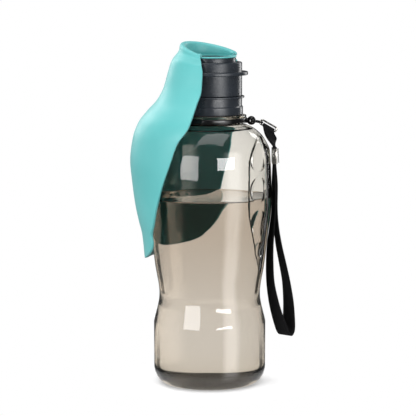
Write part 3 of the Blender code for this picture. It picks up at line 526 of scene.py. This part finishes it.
def bottle_mesh(name, profile, steps, finish, smooth_angle):
    """A turned wall pressed in at the grip, with its columns crowded there."""
    crowd = math.degrees(math.asin(GRIP_X / BELLY_R))
    verts = []
    for radius, z in profile:
        for k in range(steps):
            turn = 360.0 * k / steps
            angle = crowd + turn - math.degrees(GRIP_CROWDING * math.sin(math.radians(turn)))
            press = grip_press(angle, z) if radius > AXIS_R else 0.0
            verts.append(on_circle(radius - press, angle, z))
    return add_mesh(name, verts, grid_faces(len(profile), steps, wrap=True), finish, smooth_angle)


def make_bottle():
    """The bottle's wall, from the middle of its floor up the inside, over the rim and down outside."""
    heights = np.concatenate([
        np.linspace(BASE_TOP, GRIP_LOW_Z, WAIST_ROWS)[:-1],
        np.linspace(GRIP_LOW_Z, SHOULDER_TOP, SIDE_ROWS),
    ])
    inside = [(radius, z + FLOOR) for radius, z in reversed(PUSH_UP)]
    inside += [FLOOR_EDGE, *FLOOR_CORNER]
    inside += [(side_radius(z) - WALL, z) for z in heights[:-2] if z < SHOULDER_INSIDE_Z]
    inside += NECK_INSIDE
    outside = list(NECK_OUTSIDE)
    outside += [(side_radius(z), z) for z in reversed(heights)]
    for k in range(1, FOOT_ROWS + 1):
        turn = math.radians(90.0 * k / FOOT_ROWS)
        outside.append((FOOT_R + FOOT_CORNER_R * math.cos(turn), FOOT_CORNER_H * (1 - math.sin(turn))))
    outside += [(STAND_R, 0.0), *PUSH_UP]
    return bottle_mesh("bottle_shell_clear", inside + outside[1:], BOTTLE_COLUMNS, SMOKE, 32.0)


def make_water():
    """Water up to its level, with the small rise at its edge."""
    profile = [(radius, z + FLOOR - WATER_OVERLAP) for radius, z in reversed(PUSH_UP)]
    profile.append((FLOOR_EDGE[0], FLOOR_EDGE[1] - WATER_OVERLAP))
    profile += [(radius + WATER_OVERLAP, z) for radius, z in FLOOR_CORNER]
    for z in np.linspace(BASE_TOP, WATER_LEVEL - MENISCUS_ROOM, WATER_ROWS):
        profile.append((side_radius(z) - WALL + WATER_OVERLAP, z))
    edge = side_radius(WATER_LEVEL) - WALL + WATER_OVERLAP
    profile += [(edge - inwards, WATER_LEVEL + rise) for inwards, rise in MENISCUS]
    profile.append((0.0, WATER_LEVEL))
    return bottle_mesh("water_fill", profile, WATER_COLUMNS, WATER, 40.0)


def make_thread():
    """The neck's thread as a wire that fades into the neck at both ends."""
    points = []
    for k in range(THREAD_STEPS + 1):
        share = k / THREAD_STEPS
        turn = 2 * math.pi * THREAD_TURNS * share
        radius = THREAD_R + THREAD_SWELL * math.sin(math.pi * share) ** THREAD_FADE
        height = (THREAD_LOW + THREAD_RISE * share) * MM
        points.append((radius * MM * math.cos(turn), radius * MM * math.sin(turn), height))
    return tube("neck_thread", points, THREAD_WIRE * MM, SMOKE, closed=False, sides=10)


# Cap, spout and leaf collar as closed profiles of (radius, height, fillet)
CAP = (
    (22.4, 187.5, 0.4), (22.4, 186.3, 0.4), (20.9, 186.3), (20.9, 181.2), (21.5, 180.6),
    (21.5, 175.4, 0.9), (19.0, 175.4), (19.0, 185.9), (5.4, 185.9), (5.4, 197.7), (6.2, 197.7), (6.2, 203.0),
    (8.0, 203.0, 0.4), (8.0, 187.5),
)
SPOUT = (
    (16.9, 211.9, 0.3), (16.9, 209.3), (20.9, 209.3, 0.9), (20.9, 203.2, 0.2), (24.7, 203.2, 0.6),
    (24.7, 201.0, 0.6), (20.9, 201.0, 0.2), (20.9, 187.8, 0.3), (19.3, 187.8), (19.3, 205.3),
    (10.3, 205.3), (10.3, 190.5), (8.3, 190.5, 0.3), (8.3, 192.3), (9.5, 192.3), (9.5, 194.3),
    (8.3, 194.3), (8.3, 205.3), (3.6, 205.3), (3.6, 209.0), (5.2, 209.0, 0.4), (5.2, 206.9, 0.5),
    (15.2, 206.9, 0.5), (15.2, 211.9),
)
COLLAR = (
    (17.2, 213.1, 0.35), (17.2, 212.2, 0.35), (14.9, 212.2), (14.9, 207.2), (13.9, 207.2),
    (13.9, 213.1, 0.3),
)

# Silicone leaf: the sheet's middle surface. Each station is a height, the angles of its near and far
# edges, and its radius at the edges and at the middle of its width.
LEAF_STATIONS = (
    (222.0, -19.0, -246.0, 18.6, 18.6), (215.0, -18.5, -236.0, 20.6, 20.7),
    (209.0, -12.0, -226.0, 24.6, 24.1), (203.0, -10.0, -223.0, 26.6, 26.0),
    (192.0, -10.4, -220.0, 29.6, 29.2), (184.0, -13.9, -212.0, 34.0, 33.6),
    (177.0, -15.5, -207.5, 39.6, 40.0), (170.0, -17.6, -204.0, 44.0, 45.4),
    (160.0, -26.0, -200.5, 46.1, 49.2), (145.0, -33.6, -197.0, 46.2, 51.2),
    (132.0, -40.5, -192.3, 46.2, 50.0), (118.0, -46.9, -188.3, 46.0, 48.0),
    (107.0, -52.5, -183.5, 44.8, 45.6), (98.0, -58.8, -178.0, 43.2, 43.2),
    (80.8, -58.8, -158.0, 41.4, 41.4),
)
LEAF_THICKNESS = 1.6
LEAF_EDGE = 0.5
COLLAR_R = 17.2
COLLAR_TOP = 213.1
WALL_FAR_ANGLE = -268.0
CREST_PEAK = 222.1
CREST_ANGLE = -125.0
CREST_NEAR_DROP = 6.0
CREST_FAR_DROP = 4.2
CREST_FOLD_R = 1.1
HINGE_RISE = 0.25
EDGE_START_Z = 215.1
LEAF_SPLIT_Z = 196.3
LEAF_ROUND_Z = 98.0
LEAF_TIP_Z = 80.8
TIP_SWEEP = 80.0
FOLD_BLEND = 0.35
FOLD_SLIDE = 0.16
LEAF_CROWN = 0.8
LEAF_COLUMNS = 96
WALL_ROWS = 3
CREST_ROWS = 12
SHOULDER_ROWS = 24
CUP_ROWS = 60
TIP_ROWS = 16

stations = sorted(LEAF_STATIONS)
near_edge, far_edge, edge_radius, middle_radius = (
    smooth_curve([row[0] for row in stations], [row[k] for row in stations]) for k in range(1, 5)
)


def leaf_point(start, end, z, share):
    """The leaf's radius and angle at a share of the way between two edge angles."""
    crown = max(math.sin(math.pi * share), 0.0) ** LEAF_CROWN
    radius = edge_radius(z) + (middle_radius(z) - edge_radius(z)) * crown
    return radius, start + (end - start) * share


def leaf_column(share):
    """One line of the leaf: up from the collar, over the crest and down to the tip."""
    top_near = near_edge(CREST_PEAK)
    angle = top_near + (far_edge(CREST_PEAK) - top_near) * share
    foot = top_near + (WALL_FAR_ANGLE - top_near) * share
    off = math.radians(angle - CREST_ANGLE)
    drop = CREST_NEAR_DROP if off > 0 else CREST_FAR_DROP
    crest = CREST_PEAK - LEAF_THICKNESS / 2 - drop * (1 - math.cos(off))
    hinge = max(crest - CREST_FOLD_R, COLLAR_TOP + HINGE_RISE)
    wall_r = COLLAR_R - LEAF_THICKNESS / 2
    column = []
    for k in range(WALL_ROWS):
        rise = k / WALL_ROWS
        z = COLLAR_TOP + (hinge - COLLAR_TOP) * rise
        column.append(on_circle(wall_r, foot + (angle - foot) * rise, z))
    for k in range(CREST_ROWS + 1):
        turn = math.pi * k / CREST_ROWS
        radius = wall_r + CREST_FOLD_R * (1 - math.cos(turn))
        column.append(on_circle(radius, angle, hinge + CREST_FOLD_R * math.sin(turn)))
    start_r = wall_r + 2 * CREST_FOLD_R
    for k in range(1, SHOULDER_ROWS + 1):
        fall = k / SHOULDER_ROWS
        z = hinge + (LEAF_SPLIT_Z - hinge) * fall
        edge_z = EDGE_START_Z + (LEAF_SPLIT_Z - EDGE_START_Z) * fall
        reach, at = leaf_point(near_edge(edge_z), far_edge(edge_z), z, share)
        radius = start_r + (max(reach, start_r) - start_r) * smooth_step(fall / FOLD_BLEND)
        column.append(on_circle(radius, angle + (at - angle) * smooth_step(fall / FOLD_SLIDE), z))
    for k in range(1, CUP_ROWS + 1):
        z = LEAF_SPLIT_Z + (LEAF_ROUND_Z - LEAF_SPLIT_Z) * k / CUP_ROWS
        radius, at = leaf_point(near_edge(z), far_edge(z), z, share)
        column.append(on_circle(radius, at, z))
    for k in range(1, TIP_ROWS + 1):
        sweep = math.radians(TIP_SWEEP * k / TIP_ROWS)
        z = LEAF_ROUND_Z - (LEAF_ROUND_Z - LEAF_TIP_Z) * math.sin(sweep)
        middle = (near_edge(z) + far_edge(z)) / 2
        half = (near_edge(LEAF_ROUND_Z) - far_edge(LEAF_ROUND_Z)) / 2 * math.cos(sweep)
        radius, at = leaf_point(middle + half, middle - half, z, share)
        column.append(on_circle(radius, at, z))
    return column


def make_leaf():
    """The silicone wall as one sheet of even thickness with soft edges."""
    columns = [leaf_column(i / LEAF_COLUMNS) for i in range(LEAF_COLUMNS + 1)]
    rows = list(zip(*columns))
    verts = [point for row in rows for point in row]
    made = add_mesh("silicone_leaf", verts, grid_faces(len(rows), LEAF_COLUMNS + 1), TEAL, 180.0)
    thick = made.modifiers.new("thickness", "SOLIDIFY")
    thick.thickness = LEAF_THICKNESS * MM
    thick.offset = 0.0
    soft = made.modifiers.new("soft_edges", "BEVEL")
    soft.width = LEAF_EDGE * MM
    soft.segments = 3
    soft.angle_limit = math.radians(50)
    apply_modifiers(made)
    made.data.shade_smooth()
    return made


# Neck ring as a closed profile of (radius, height, fillet), in millimetres
RING = ((24.1, 173.6, 0.7), (24.1, 170.6, 0.7), (21.3, 170.6, 0.2), (21.3, 173.6, 0.2))

# The ring's eye, the cord and the link, in metres
EYE = Vector((26.9, 0.0, 171.4)) * MM
BEAD_R = 2.9 * MM
LUG_R = 1.6 * MM
LUG_START_X = 22.0 * MM
LUG_END_X = 26.5 * MM
EYE_HOLE_R = 1.0 * MM
EYE_HOLE_REACH = 6.0 * MM
CORD_R = 0.55 * MM
CORD_WIDTH = 8.4 * MM
CORD_CORNER_R = 1.1 * MM
CORD_END_X = 34.0 * MM
CORD_DROP = 1.2 * MM
LINK_WIRE_R = 0.55 * MM
LINK_LENGTH = 11.6 * MM
LINK_HEIGHT = 3.0 * MM
LINK_CORNER_R = 1.2 * MM
LINK_SLOPE = math.radians(30.0)
ALONG = Vector((math.cos(LINK_SLOPE), 0.0, -math.sin(LINK_SLOPE)))
UPWARD = Vector((math.sin(LINK_SLOPE), 0.0, math.cos(LINK_SLOPE)))
LINK_START = Vector((CORD_END_X, 0.0, EYE.z - CORD_DROP)) - ALONG * 1.3 * MM

# Tab, clip and tape, in metres
TAPE = 0.9 * MM
# The tape's flat part as a share of its half width, and how far its edge is rounded
TAPE_FLAT = 0.94
TAPE_ROUND = 0.06
TAPE_WIDTH = 10.4 * MM
LAYER_SPACING = 1.1 * MM
TAPE_ROOM = 0.3 * MM
CLIP_X = 41.95 * MM
CLIP_TOP = 153.6 * MM
CLIP_H = 10.0 * MM
CLIP_WALL = 0.5 * MM
CLIP_COLUMNS = 40
# Where the clip's rims start, as a share of its half height, and how thin its wall is there
CLIP_RIM = 0.92
CLIP_RIM_WALL = 0.7
# The lower the power, the squarer the clip's corners
CLIP_SQUARE_X = 0.35
CLIP_SQUARE_Y = 0.2
TAB_OFFSET = 0.65 * MM
TAB_FOLD_R = 1.75 * MM
TAB_FOLD_HALF_WIDTH = 4.2 * MM
TAB_HALF_WIDTH = 4.25 * MM
TAB_WIDENING = 0.65 * MM
TAB_THINNING = 0.75 * MM
TAB_THROAT_RISE = 0.5 * MM
TAB_INSERTION = 2.6 * MM
TAB_FOLD_STEPS = 4
TAB_DROP_STEPS = 30
TAB_END_STEPS = 2
# The fold's least thickness as a share of its radius, and how soon the tape thins below it
TAB_FOLD_LEAST = 0.2
TAB_THINNING_RATE = 1.6

# The hanging loop, in millimetres. Each station is a height, the distances of the inner and the outer
# strand from the bottle's axis, and the share of the twist reached there. The other points are
# (x, y, z, share), and the twist is in degrees.
LOOP_STATIONS = (
    (130.0, 41.6, 42.75, 0.28), (114.0, 41.6, 42.75, 0.28), (102.0, 40.6, 43.4, 0.4),
    (90.0, 39.4, 45.1, 0.55), (78.0, 39.1, 47.6, 0.66), (66.0, 39.6, 50.0, 0.76),
    (54.0, 41.6, 51.5, 1.0), (44.0, 44.2, 52.0, 1.2), (36.0, 46.9, 51.9, 1.4),
    (32.4, 48.3, 51.3, 1.4),
)
LOOP_START = ((41.4, 0.0, 144.6, 0.0), (41.4, 0.0, 142.0, 0.05))
LOOP_BOTTOM = (49.9, 0.0, 30.8, 1.4)
LOOP_END = ((42.5, 0.0, 142.0, 0.05), (42.5, 0.0, 144.6, 0.0))
LOOP_TWIST = 36.0


def make_ring():
    """The turning ring, and the ball with its lug and a hole for the cord."""
    ring = lathe("neck_ring_band", RING, BLACK)
    work = bmesh.new()
    bmesh.ops.create_uvsphere(work, u_segments=40, v_segments=24, radius=BEAD_R)
    bmesh.ops.translate(work, vec=EYE, verts=work.verts)
    bead_mesh = bpy.data.meshes.new("neck_ring_bead")
    work.to_mesh(bead_mesh)
    work.free()
    bead = bpy.data.objects.new("neck_ring_bead", bead_mesh)
    bpy.context.scene.collection.objects.link(bead)
    bead_mesh.materials.append(BLACK)
    lug_line = [(LUG_START_X, 0, EYE.z), (LUG_END_X, 0, EYE.z)]
    lug = tube("ring_lug", lug_line, LUG_R, BLACK, closed=False, sides=24)
    hole_line = [(EYE.x, -EYE_HOLE_REACH, EYE.z), (EYE.x, EYE_HOLE_REACH, EYE.z)]
    hole = tube("eye_hole_cutter", hole_line, EYE_HOLE_R, BLACK, closed=False, sides=24)
    for tool, kind in ((lug, "UNION"), (hole, "DIFFERENCE")):
        change = bead.modifiers.new(tool.name, "BOOLEAN")
        change.operation = kind
        change.solver = "EXACT"
        change.object = tool
    apply_modifiers(bead)
    bead.data.shade_smooth()
    bead.data.set_sharp_from_angle(angle=math.radians(40))
    for tool in (lug, hole):
        bpy.data.objects.remove(tool)
    return ring, bead


def make_tether():
    """The cord through the eye and the bent wire link that hangs on it."""
    reach = CORD_END_X - EYE.x
    flat = rounded_loop(reach, CORD_WIDTH, CORD_CORNER_R)
    cord_line = [(EYE.x + x, y, EYE.z - CORD_DROP * x / reach) for x, y in flat]
    cord = tube("tether_cord_soft", cord_line, CORD_R, WEBBING)
    shape = rounded_loop(LINK_LENGTH, LINK_HEIGHT, LINK_CORNER_R)
    link_line = [LINK_START + ALONG * x + UPWARD * y for x, y in shape]
    link = tube("wire_link", link_line, LINK_WIRE_R, STEEL)
    return cord, link


def ribbon(name, centres, widths, thicks):
    """A flat tape with rounded edges. Widths and thicks are half vectors at each centre."""
    section = []
    for side in (1.0, -1.0):
        for k in range(5):
            turn = math.radians(-90.0 * side + 180.0 * k / 4)
            section.append((TAPE_FLAT * side + TAPE_ROUND * math.cos(turn), math.sin(turn)))
        section += [(0.5 * side, side), (0.0, side), (-0.5 * side, side)]
    verts = []
    uvs = []
    travelled = 0.0
    half_pitch = WEAVE_PITCH / 2
    for i, centre in enumerate(centres):
        if i:
            travelled += (centre - centres[i - 1]).length
        for a, b in section:
            verts.append(centre + widths[i] * a + thicks[i] * b)
            uvs.append((travelled / MM, a * widths[i].length / MM + (half_pitch if b > 0 else 0.0)))
    count = len(section)
    faces = grid_faces(len(centres), count, wrap=True)
    faces.append(tuple(range(count)))
    faces.append(tuple(reversed(range((len(centres) - 1) * count, len(centres) * count))))
    return add_mesh(name, verts, faces, WEBBING, 50.0, uvs=uvs)


def loop_route():
    """The loop's middle line in millimetres with its share of the twist, from the clip and back."""
    down = []
    up = []
    for height, inner_x, outer_x, share in LOOP_STATIONS:
        lean = math.tan(math.radians(LOOP_TWIST * share))
        middle = (inner_x + outer_x) / 2
        down.append((inner_x, (inner_x - middle) * lean, height, share))
        up.append((outer_x, (outer_x - middle) * lean, height, share))
    return [*LOOP_START, *down, LOOP_BOTTOM, *reversed(up), *LOOP_END]


def open_curve(points, per_span):
    """A smooth curve through a list of points."""
    points = [np.array(p, float) for p in points]
    padded = [2 * points[0] - points[1]] + points + [2 * points[-1] - points[-2]]
    made = []
    for k in range(1, len(padded) - 2):
        p0, p1, p2, p3 = padded[k - 1 : k + 3]
        for j in range(per_span):
            t = j / per_span
            made.append(
                0.5 * (2 * p1 + (p2 - p0) * t + (2 * p0 - 5 * p1 + 4 * p2 - p3) * t**2)
                + 0.5 * (3 * p1 - p0 - 3 * p2 + p3) * t**3
            )
    made.append(points[-1])
    return made


def make_wrist_loop():
    """The hanging loop of tape, which turns towards the front as it drops."""
    line = open_curve(loop_route(), 12)
    centres = [Vector((x * MM, y * MM, z * MM)) for x, y, z, _ in line]
    widths = []
    thicks = []
    for i, point in enumerate(line):
        after = centres[min(i + 1, len(centres) - 1)]
        before = centres[max(i - 1, 0)]
        forward = (after - before).normalized()
        yaw = math.radians(LOOP_TWIST * point[3])
        wide = Vector((-math.sin(yaw), math.cos(yaw), 0.0))
        wide = (wide - forward * wide.dot(forward)).normalized()
        widths.append(wide * TAPE_WIDTH / 2)
        thicks.append(forward.cross(wide).normalized() * TAPE / 2)
    return ribbon("wrist_tape", centres, widths, thicks)


def make_tab():
    """Tape folded over the link's lower bar, twisting a quarter turn on its way into the clip."""
    bar = LINK_START + ALONG * (LINK_LENGTH / 2 + TAB_OFFSET) - UPWARD * (LINK_HEIGHT / 2)
    throat = Vector((CLIP_X, 0.0, CLIP_TOP + TAB_THROAT_RISE))
    end = Vector((CLIP_X, 0.0, CLIP_TOP - TAB_INSERTION))
    side = Vector((0.0, 1.0, 0.0))
    centres = []
    widths = []
    thicks = []
    for k in range(TAB_FOLD_STEPS):
        rise = math.radians(90.0 * (1 - k / TAB_FOLD_STEPS))
        centres.append(bar + UPWARD * TAB_FOLD_R * math.sin(rise))
        widths.append(ALONG * TAB_FOLD_HALF_WIDTH)
        thicks.append(side * TAB_FOLD_R * max(math.cos(rise), TAB_FOLD_LEAST))
    for k in range(TAB_DROP_STEPS + TAB_END_STEPS + 1):
        share = min(k / TAB_DROP_STEPS, 1.0)
        past = max(k - TAB_DROP_STEPS, 0) / TAB_END_STEPS
        ease = smooth_step(share)
        centres.append(throat.lerp(end, past) if past else bar.lerp(throat, share))
        across = ALONG.lerp(Vector((1.0, 0.0, 0.0)), ease).normalized()
        turn = math.radians(90.0 * ease)
        half_width = TAB_HALF_WIDTH + TAB_WIDENING * ease
        widths.append((across * math.cos(turn) + side * math.sin(turn)) * half_width)
        deep = TAB_FOLD_R - TAB_THINNING * smooth_step(share * TAB_THINNING_RATE)
        thicks.append((side * math.cos(turn) - across * math.sin(turn)) * deep)
    return ribbon("link_tape", centres, widths, thicks)


def make_clip():
    """The folded metal clip: an open band with rounded corners, its two rims drawn in a little."""
    middle = CLIP_TOP - CLIP_H / 2
    half_x = (TAPE + LAYER_SPACING) / 2 + TAPE_ROOM
    half_y = TAPE_WIDTH / 2 + TAPE_ROOM
    verts = []
    for height, full in ((-1, False), (-CLIP_RIM, True), (CLIP_RIM, True), (1, False)):
        for out in (CLIP_WALL * (1.0 if full else CLIP_RIM_WALL), 0.0):
            for k in range(CLIP_COLUMNS):
                turn = 2 * math.pi * (k + 0.5) / CLIP_COLUMNS
                x = math.copysign(abs(math.cos(turn)) ** CLIP_SQUARE_X, math.cos(turn)) * (half_x + out)
                y = math.copysign(abs(math.sin(turn)) ** CLIP_SQUARE_Y, math.sin(turn)) * (half_y + out)
                verts.append((CLIP_X + x, y, middle + height * CLIP_H / 2))
    faces = []
    for c in range(CLIP_COLUMNS):
        d = (c + 1) % CLIP_COLUMNS
        for low in (0, 2 * CLIP_COLUMNS, 4 * CLIP_COLUMNS):
            inner = low + CLIP_COLUMNS
            high = inner + CLIP_COLUMNS
            faces.append((low + c, low + d, high + d, high + c))
            faces.append((inner + d, inner + c, high + CLIP_COLUMNS + c, high + CLIP_COLUMNS + d))
        for rim in (0, 6 * CLIP_COLUMNS):
            faces.append((rim + c, rim + d, rim + CLIP_COLUMNS + d, rim + CLIP_COLUMNS + c))
    return add_mesh("tape_clip", verts, faces, STEEL)


# Pieces and what each one rides on
bottle = make_bottle()
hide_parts("bottle_shell")
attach(bottle, "bottle")
water = make_water()
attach(water, "bottle")
thread = make_thread()
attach(thread, "bottle")

cap = lathe("screw_cap_shell", CAP, CHARCOAL)
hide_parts("screw_cap")
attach(cap, "cap")
spout = lathe("pull_spout_shell", SPOUT, CHARCOAL)
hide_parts("pull_spout")
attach(spout, "spout")
collar = lathe("leaf_collar_ring", COLLAR, TEAL)
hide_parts("leaf_collar")
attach(collar, "spout")

leaf = make_leaf()
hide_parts("leaf_cup", "leaf_fold")
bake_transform(leaf)

ring, bead = make_ring()
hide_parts("lanyard_ring")
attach(ring, "ring")
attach(bead, "ring")
cord, link = make_tether()
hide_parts("tether_cord")
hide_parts("strap_link")
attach(cord, "tether")
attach(link, "tether")
tab = make_tab()
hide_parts("strap_tab")
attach(tab, "strap")
clip = make_clip()
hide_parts("strap_crimp")
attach(clip, "strap")
loop = make_wrist_loop()
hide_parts("wrist_loop")
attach(loop, "strap")

for node, finish in (
    ("cap_gasket", SEAL), ("slit_valve", SEAL), ("valve_retainer", CHARCOAL), ("closure_pin", CHARCOAL),
    ("spout_o_ring", SEAL), ("leaf_clamp", CHARCOAL), ("crimp_lever", STEEL),
):
    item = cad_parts[node]
    item.data.materials.clear()
    item.data.materials.append(finish)


# Studio lights, in metres and watts. They light and are mirrored, but aren't seen themselves, either
# straight or through clear plastic.
def around(angle, elevation, distance, height=0.12):
    """A place at an angle round the bottle, an elevation and a distance from a point on its axis."""
    turn = math.radians(angle)
    lift = math.radians(elevation)
    return (
        distance * math.cos(lift) * math.sin(turn),
        -distance * math.cos(lift) * math.cos(turn),
        height + distance * math.sin(lift),
    )


def softbox(name, place, aim, width, height, power):
    data = bpy.data.lights.new(name, "AREA")
    data.shape = "RECTANGLE"
    data.size = width
    data.size_y = height
    data.energy = power
    made = bpy.data.objects.new(name, data)
    bpy.context.scene.collection.objects.link(made)
    made.location = place
    made.rotation_euler = (Vector(aim) - Vector(place)).to_track_quat("-Z", "Y").to_euler()
    made.visible_camera = False
    made.visible_transmission = False


MIDDLE = (0.0, 0.0, 0.12)
CAP_HEIGHT = (0.0, 0.0, 0.19)
softbox("left_softbox", around(-38, 7, 1.0), MIDDLE, 0.62, 0.3, 4.0)
softbox("front_card", around(30, 0, 0.62, 0.165), CAP_HEIGHT, 0.36, 0.054, 0.85)
softbox("top_softbox", around(0, 80, 1.1), MIDDLE, 0.9, 0.9, 6.0)
softbox("back_left", around(-140, 25, 1.2), MIDDLE, 0.5, 0.9, 5.0)
softbox("back_right", around(140, 15, 1.2), MIDDLE, 0.3, 0.9, 3.0)

# The world's brightness: the fill that lights solids, the seams between the panels, the sky above
# them, what scattered light meets through clear plastic, what is mirrored, and how much brighter the
# soft panel is.
FILL = 0.62
SEAM = 0.12
DIM_SKY = 0.2
SHADE = 0.02
SHEEN = 0.08
GLOW = 2.2

# Where it changes, as sines: of the angle to a panel's middle, of the height above level, or of the
# angle to the front. Straight on is how far a direction points to the back of the studio.
SEAM_START = math.sin(math.radians(39.0))
SEAM_FULL = math.sin(math.radians(41.5))
SEAM_LOWEST = (-0.27, -0.16)
SKY_START = (0.45, 0.75)
SOFT_LEFT = (0.4, 0.66)
SOFT_RIGHT = (0.8, 0.96)
SOFT_TOP = (0.35, 0.6)
STRAIGHT_ON = (0.5, 0.8)
# Past this many walls, light that turned back inside the plastic no longer sees the back
DEEPEST_PASS = 4.5


def make_world():
    """White for the camera. Clear plastic sees four white panels with dark seams between them under a
    dim sky. What lights the solids is an even fill, and what they mirror is dim but for one soft panel
    at the front right. Light that turned back inside the plastic sees that panel too, unless it goes
    on to the back of the studio."""
    world = bpy.data.worlds.new("studio")
    bpy.context.scene.world = world
    world.use_nodes = True
    tree = world.node_tree
    tree.nodes.clear()
    rays = add_node(tree, "ShaderNodeLightPath").outputs
    where = add_node(tree, "ShaderNodeTexCoord").outputs["Generated"]
    split = add_node(tree, "ShaderNodeSeparateXYZ", (where,)).outputs
    level = add_node(tree, "ShaderNodeVectorMath", (where, (1.0, 1.0, 0.0)), operation="MULTIPLY")
    length = add_node(tree, "ShaderNodeVectorMath", (level.outputs["Vector"],), operation="LENGTH")
    flat = add_node(tree, "ShaderNodeMath", (length.outputs["Value"], 0.01), operation="MAXIMUM").outputs[0]

    sizes = [add_node(tree, "ShaderNodeMath", (split[axis],), operation="ABSOLUTE") for axis in ("X", "Y")]
    least = add_node(tree, "ShaderNodeMath", [size.outputs[0] for size in sizes], operation="MINIMUM")
    aside = add_node(tree, "ShaderNodeMath", (least.outputs[0], flat), operation="DIVIDE").outputs[0]
    sine = add_node(tree, "ShaderNodeMath", (split["X"], flat), operation="DIVIDE").outputs[0]
    seam, lifted, sky, left, right, top, ahead = (
        add_node(
            tree, "ShaderNodeMapRange", (value, start, end, low, high), interpolation_type="SMOOTHSTEP"
        ).outputs["Result"]
        for value, (start, end), low, high in (
            (aside, (SEAM_START, SEAM_FULL), 0.0, SEAM - 1.0),
            (split["Z"], SEAM_LOWEST, 0.0, 1.0),
            (split["Z"], SKY_START, 1.0, DIM_SKY),
            (sine, SOFT_LEFT, 0.0, 1.0),
            (sine, SOFT_RIGHT, 1.0, 0.0),
            (split["Z"], SOFT_TOP, 1.0, 0.0),
            (split["Y"], STRAIGHT_ON, 0.0, 1.0),
        )
    )
    panels = add_node(tree, "ShaderNodeMath", (seam, lifted, 1.0), operation="MULTIPLY_ADD")
    clear_view = add_node(tree, "ShaderNodeMath", (panels.outputs[0], sky), operation="MULTIPLY").outputs[0]
    soft_panel = add_node(tree, "ShaderNodeMath", (split["Y"], 0.0), operation="LESS_THAN").outputs[0]
    for limit in (left, right, top):
        soft_panel = add_node(tree, "ShaderNodeMath", (soft_panel, limit), operation="MULTIPLY").outputs[0]
    mirror = add_node(tree, "ShaderNodeMath", (soft_panel, GLOW, SHEEN), operation="MULTIPLY_ADD")
    mirrored = mirror.outputs[0]

    scattered, turned, passes = (
        add_node(tree, "ShaderNodeMath", (rays[depth], limit), operation=test).outputs[0]
        for depth, limit, test in (
            ("Diffuse Depth", 0.5, "GREATER_THAN"),
            ("Glossy Depth", 0.5, "GREATER_THAN"),
            ("Transmission Depth", DEEPEST_PASS, "LESS_THAN"),
        )
    )
    onward = add_node(tree, "ShaderNodeMath", (ahead, passes), operation="MULTIPLY").outputs[0]
    folded = add_node(tree, "ShaderNodeMix", {0: onward, 2: mirrored, 3: clear_view}).outputs[0]
    direct = add_node(tree, "ShaderNodeMix", {0: turned, 2: clear_view, 3: folded}).outputs[0]
    through = add_node(tree, "ShaderNodeMix", {0: scattered, 2: direct, 3: SHADE}).outputs[0]
    solid = add_node(tree, "ShaderNodeMix", {0: rays["Is Glossy Ray"], 2: FILL, 3: mirrored}).outputs[0]
    lit = add_node(tree, "ShaderNodeMix", {0: rays["Is Transmission Ray"], 2: solid, 3: through}).outputs[0]
    seen = add_node(tree, "ShaderNodeMix", {0: rays["Is Camera Ray"], 2: lit, 3: 1.0}).outputs[0]
    white = {"Color": linear("#FFFFFF"), "Strength": seen}
    back = add_node(tree, "ShaderNodeBackground", white)
    add_node(tree, "ShaderNodeOutputWorld", {"Surface": back.outputs["Background"]})


make_world()

FLOOR_R = 0.9
FLOOR_DROP = 0.2 * MM
FADE_START = 0.03
FADE_END = 0.07


def make_floor():
    """Matt white paper that fades into the white round it, a hair below the base."""
    mesh = bpy.data.meshes.new("floor")
    work = bmesh.new()
    bmesh.ops.create_circle(work, cap_ends=True, segments=96, radius=FLOOR_R)
    bmesh.ops.translate(work, vec=(0.0, 0.0, -FLOOR_DROP), verts=work.verts)
    work.to_mesh(mesh)
    work.free()
    floor = bpy.data.objects.new("floor", mesh)
    bpy.context.scene.collection.objects.link(floor)
    made, tree = empty_material("floor_paper")
    where = add_node(tree, "ShaderNodeTexCoord").outputs["Object"]
    reach = add_node(tree, "ShaderNodeVectorMath", (where,), operation="LENGTH").outputs["Value"]
    fade = add_node(
        tree, "ShaderNodeMapRange", (reach, FADE_START, FADE_END, 1.0, 0.0), interpolation_type="SMOOTHSTEP"
    )
    paper = add_node(
        tree,
        "ShaderNodeBsdfPrincipled",
        {
            "Base Color": linear("#F7F7F7"),
            "Roughness": 0.9,
            "Specular IOR Level": 0.0,
            "Emission Color": linear("#FFFFFF"),
            "Emission Strength": 0.25,
            "Alpha": fade.outputs["Result"],
        },
    )
    add_node(tree, "ShaderNodeOutputMaterial", {"Surface": paper.outputs["BSDF"]})
    mesh.materials.append(made)


make_floor()

# The photograph's view: a long lens at the front, a little above the cap and tilted down
CAMERA_PLACE = (-0.0011, -1.2417, 0.2743)
CAMERA_TILT = 7.34
CAMERA_LENS = 166.7
CAMERA_SENSOR = 36.0
camera_data = bpy.data.cameras.new("photo_camera")
camera_data.lens = CAMERA_LENS
camera_data.sensor_width = CAMERA_SENSOR
camera = bpy.data.objects.new("photo_camera", camera_data)
bpy.context.scene.collection.objects.link(camera)
camera.location = CAMERA_PLACE
camera.rotation_euler = (math.radians(90.0 - CAMERA_TILT), 0.0, 0.0)
bpy.context.scene.camera = camera
bpy.context.scene.view_settings.view_transform = "Standard"
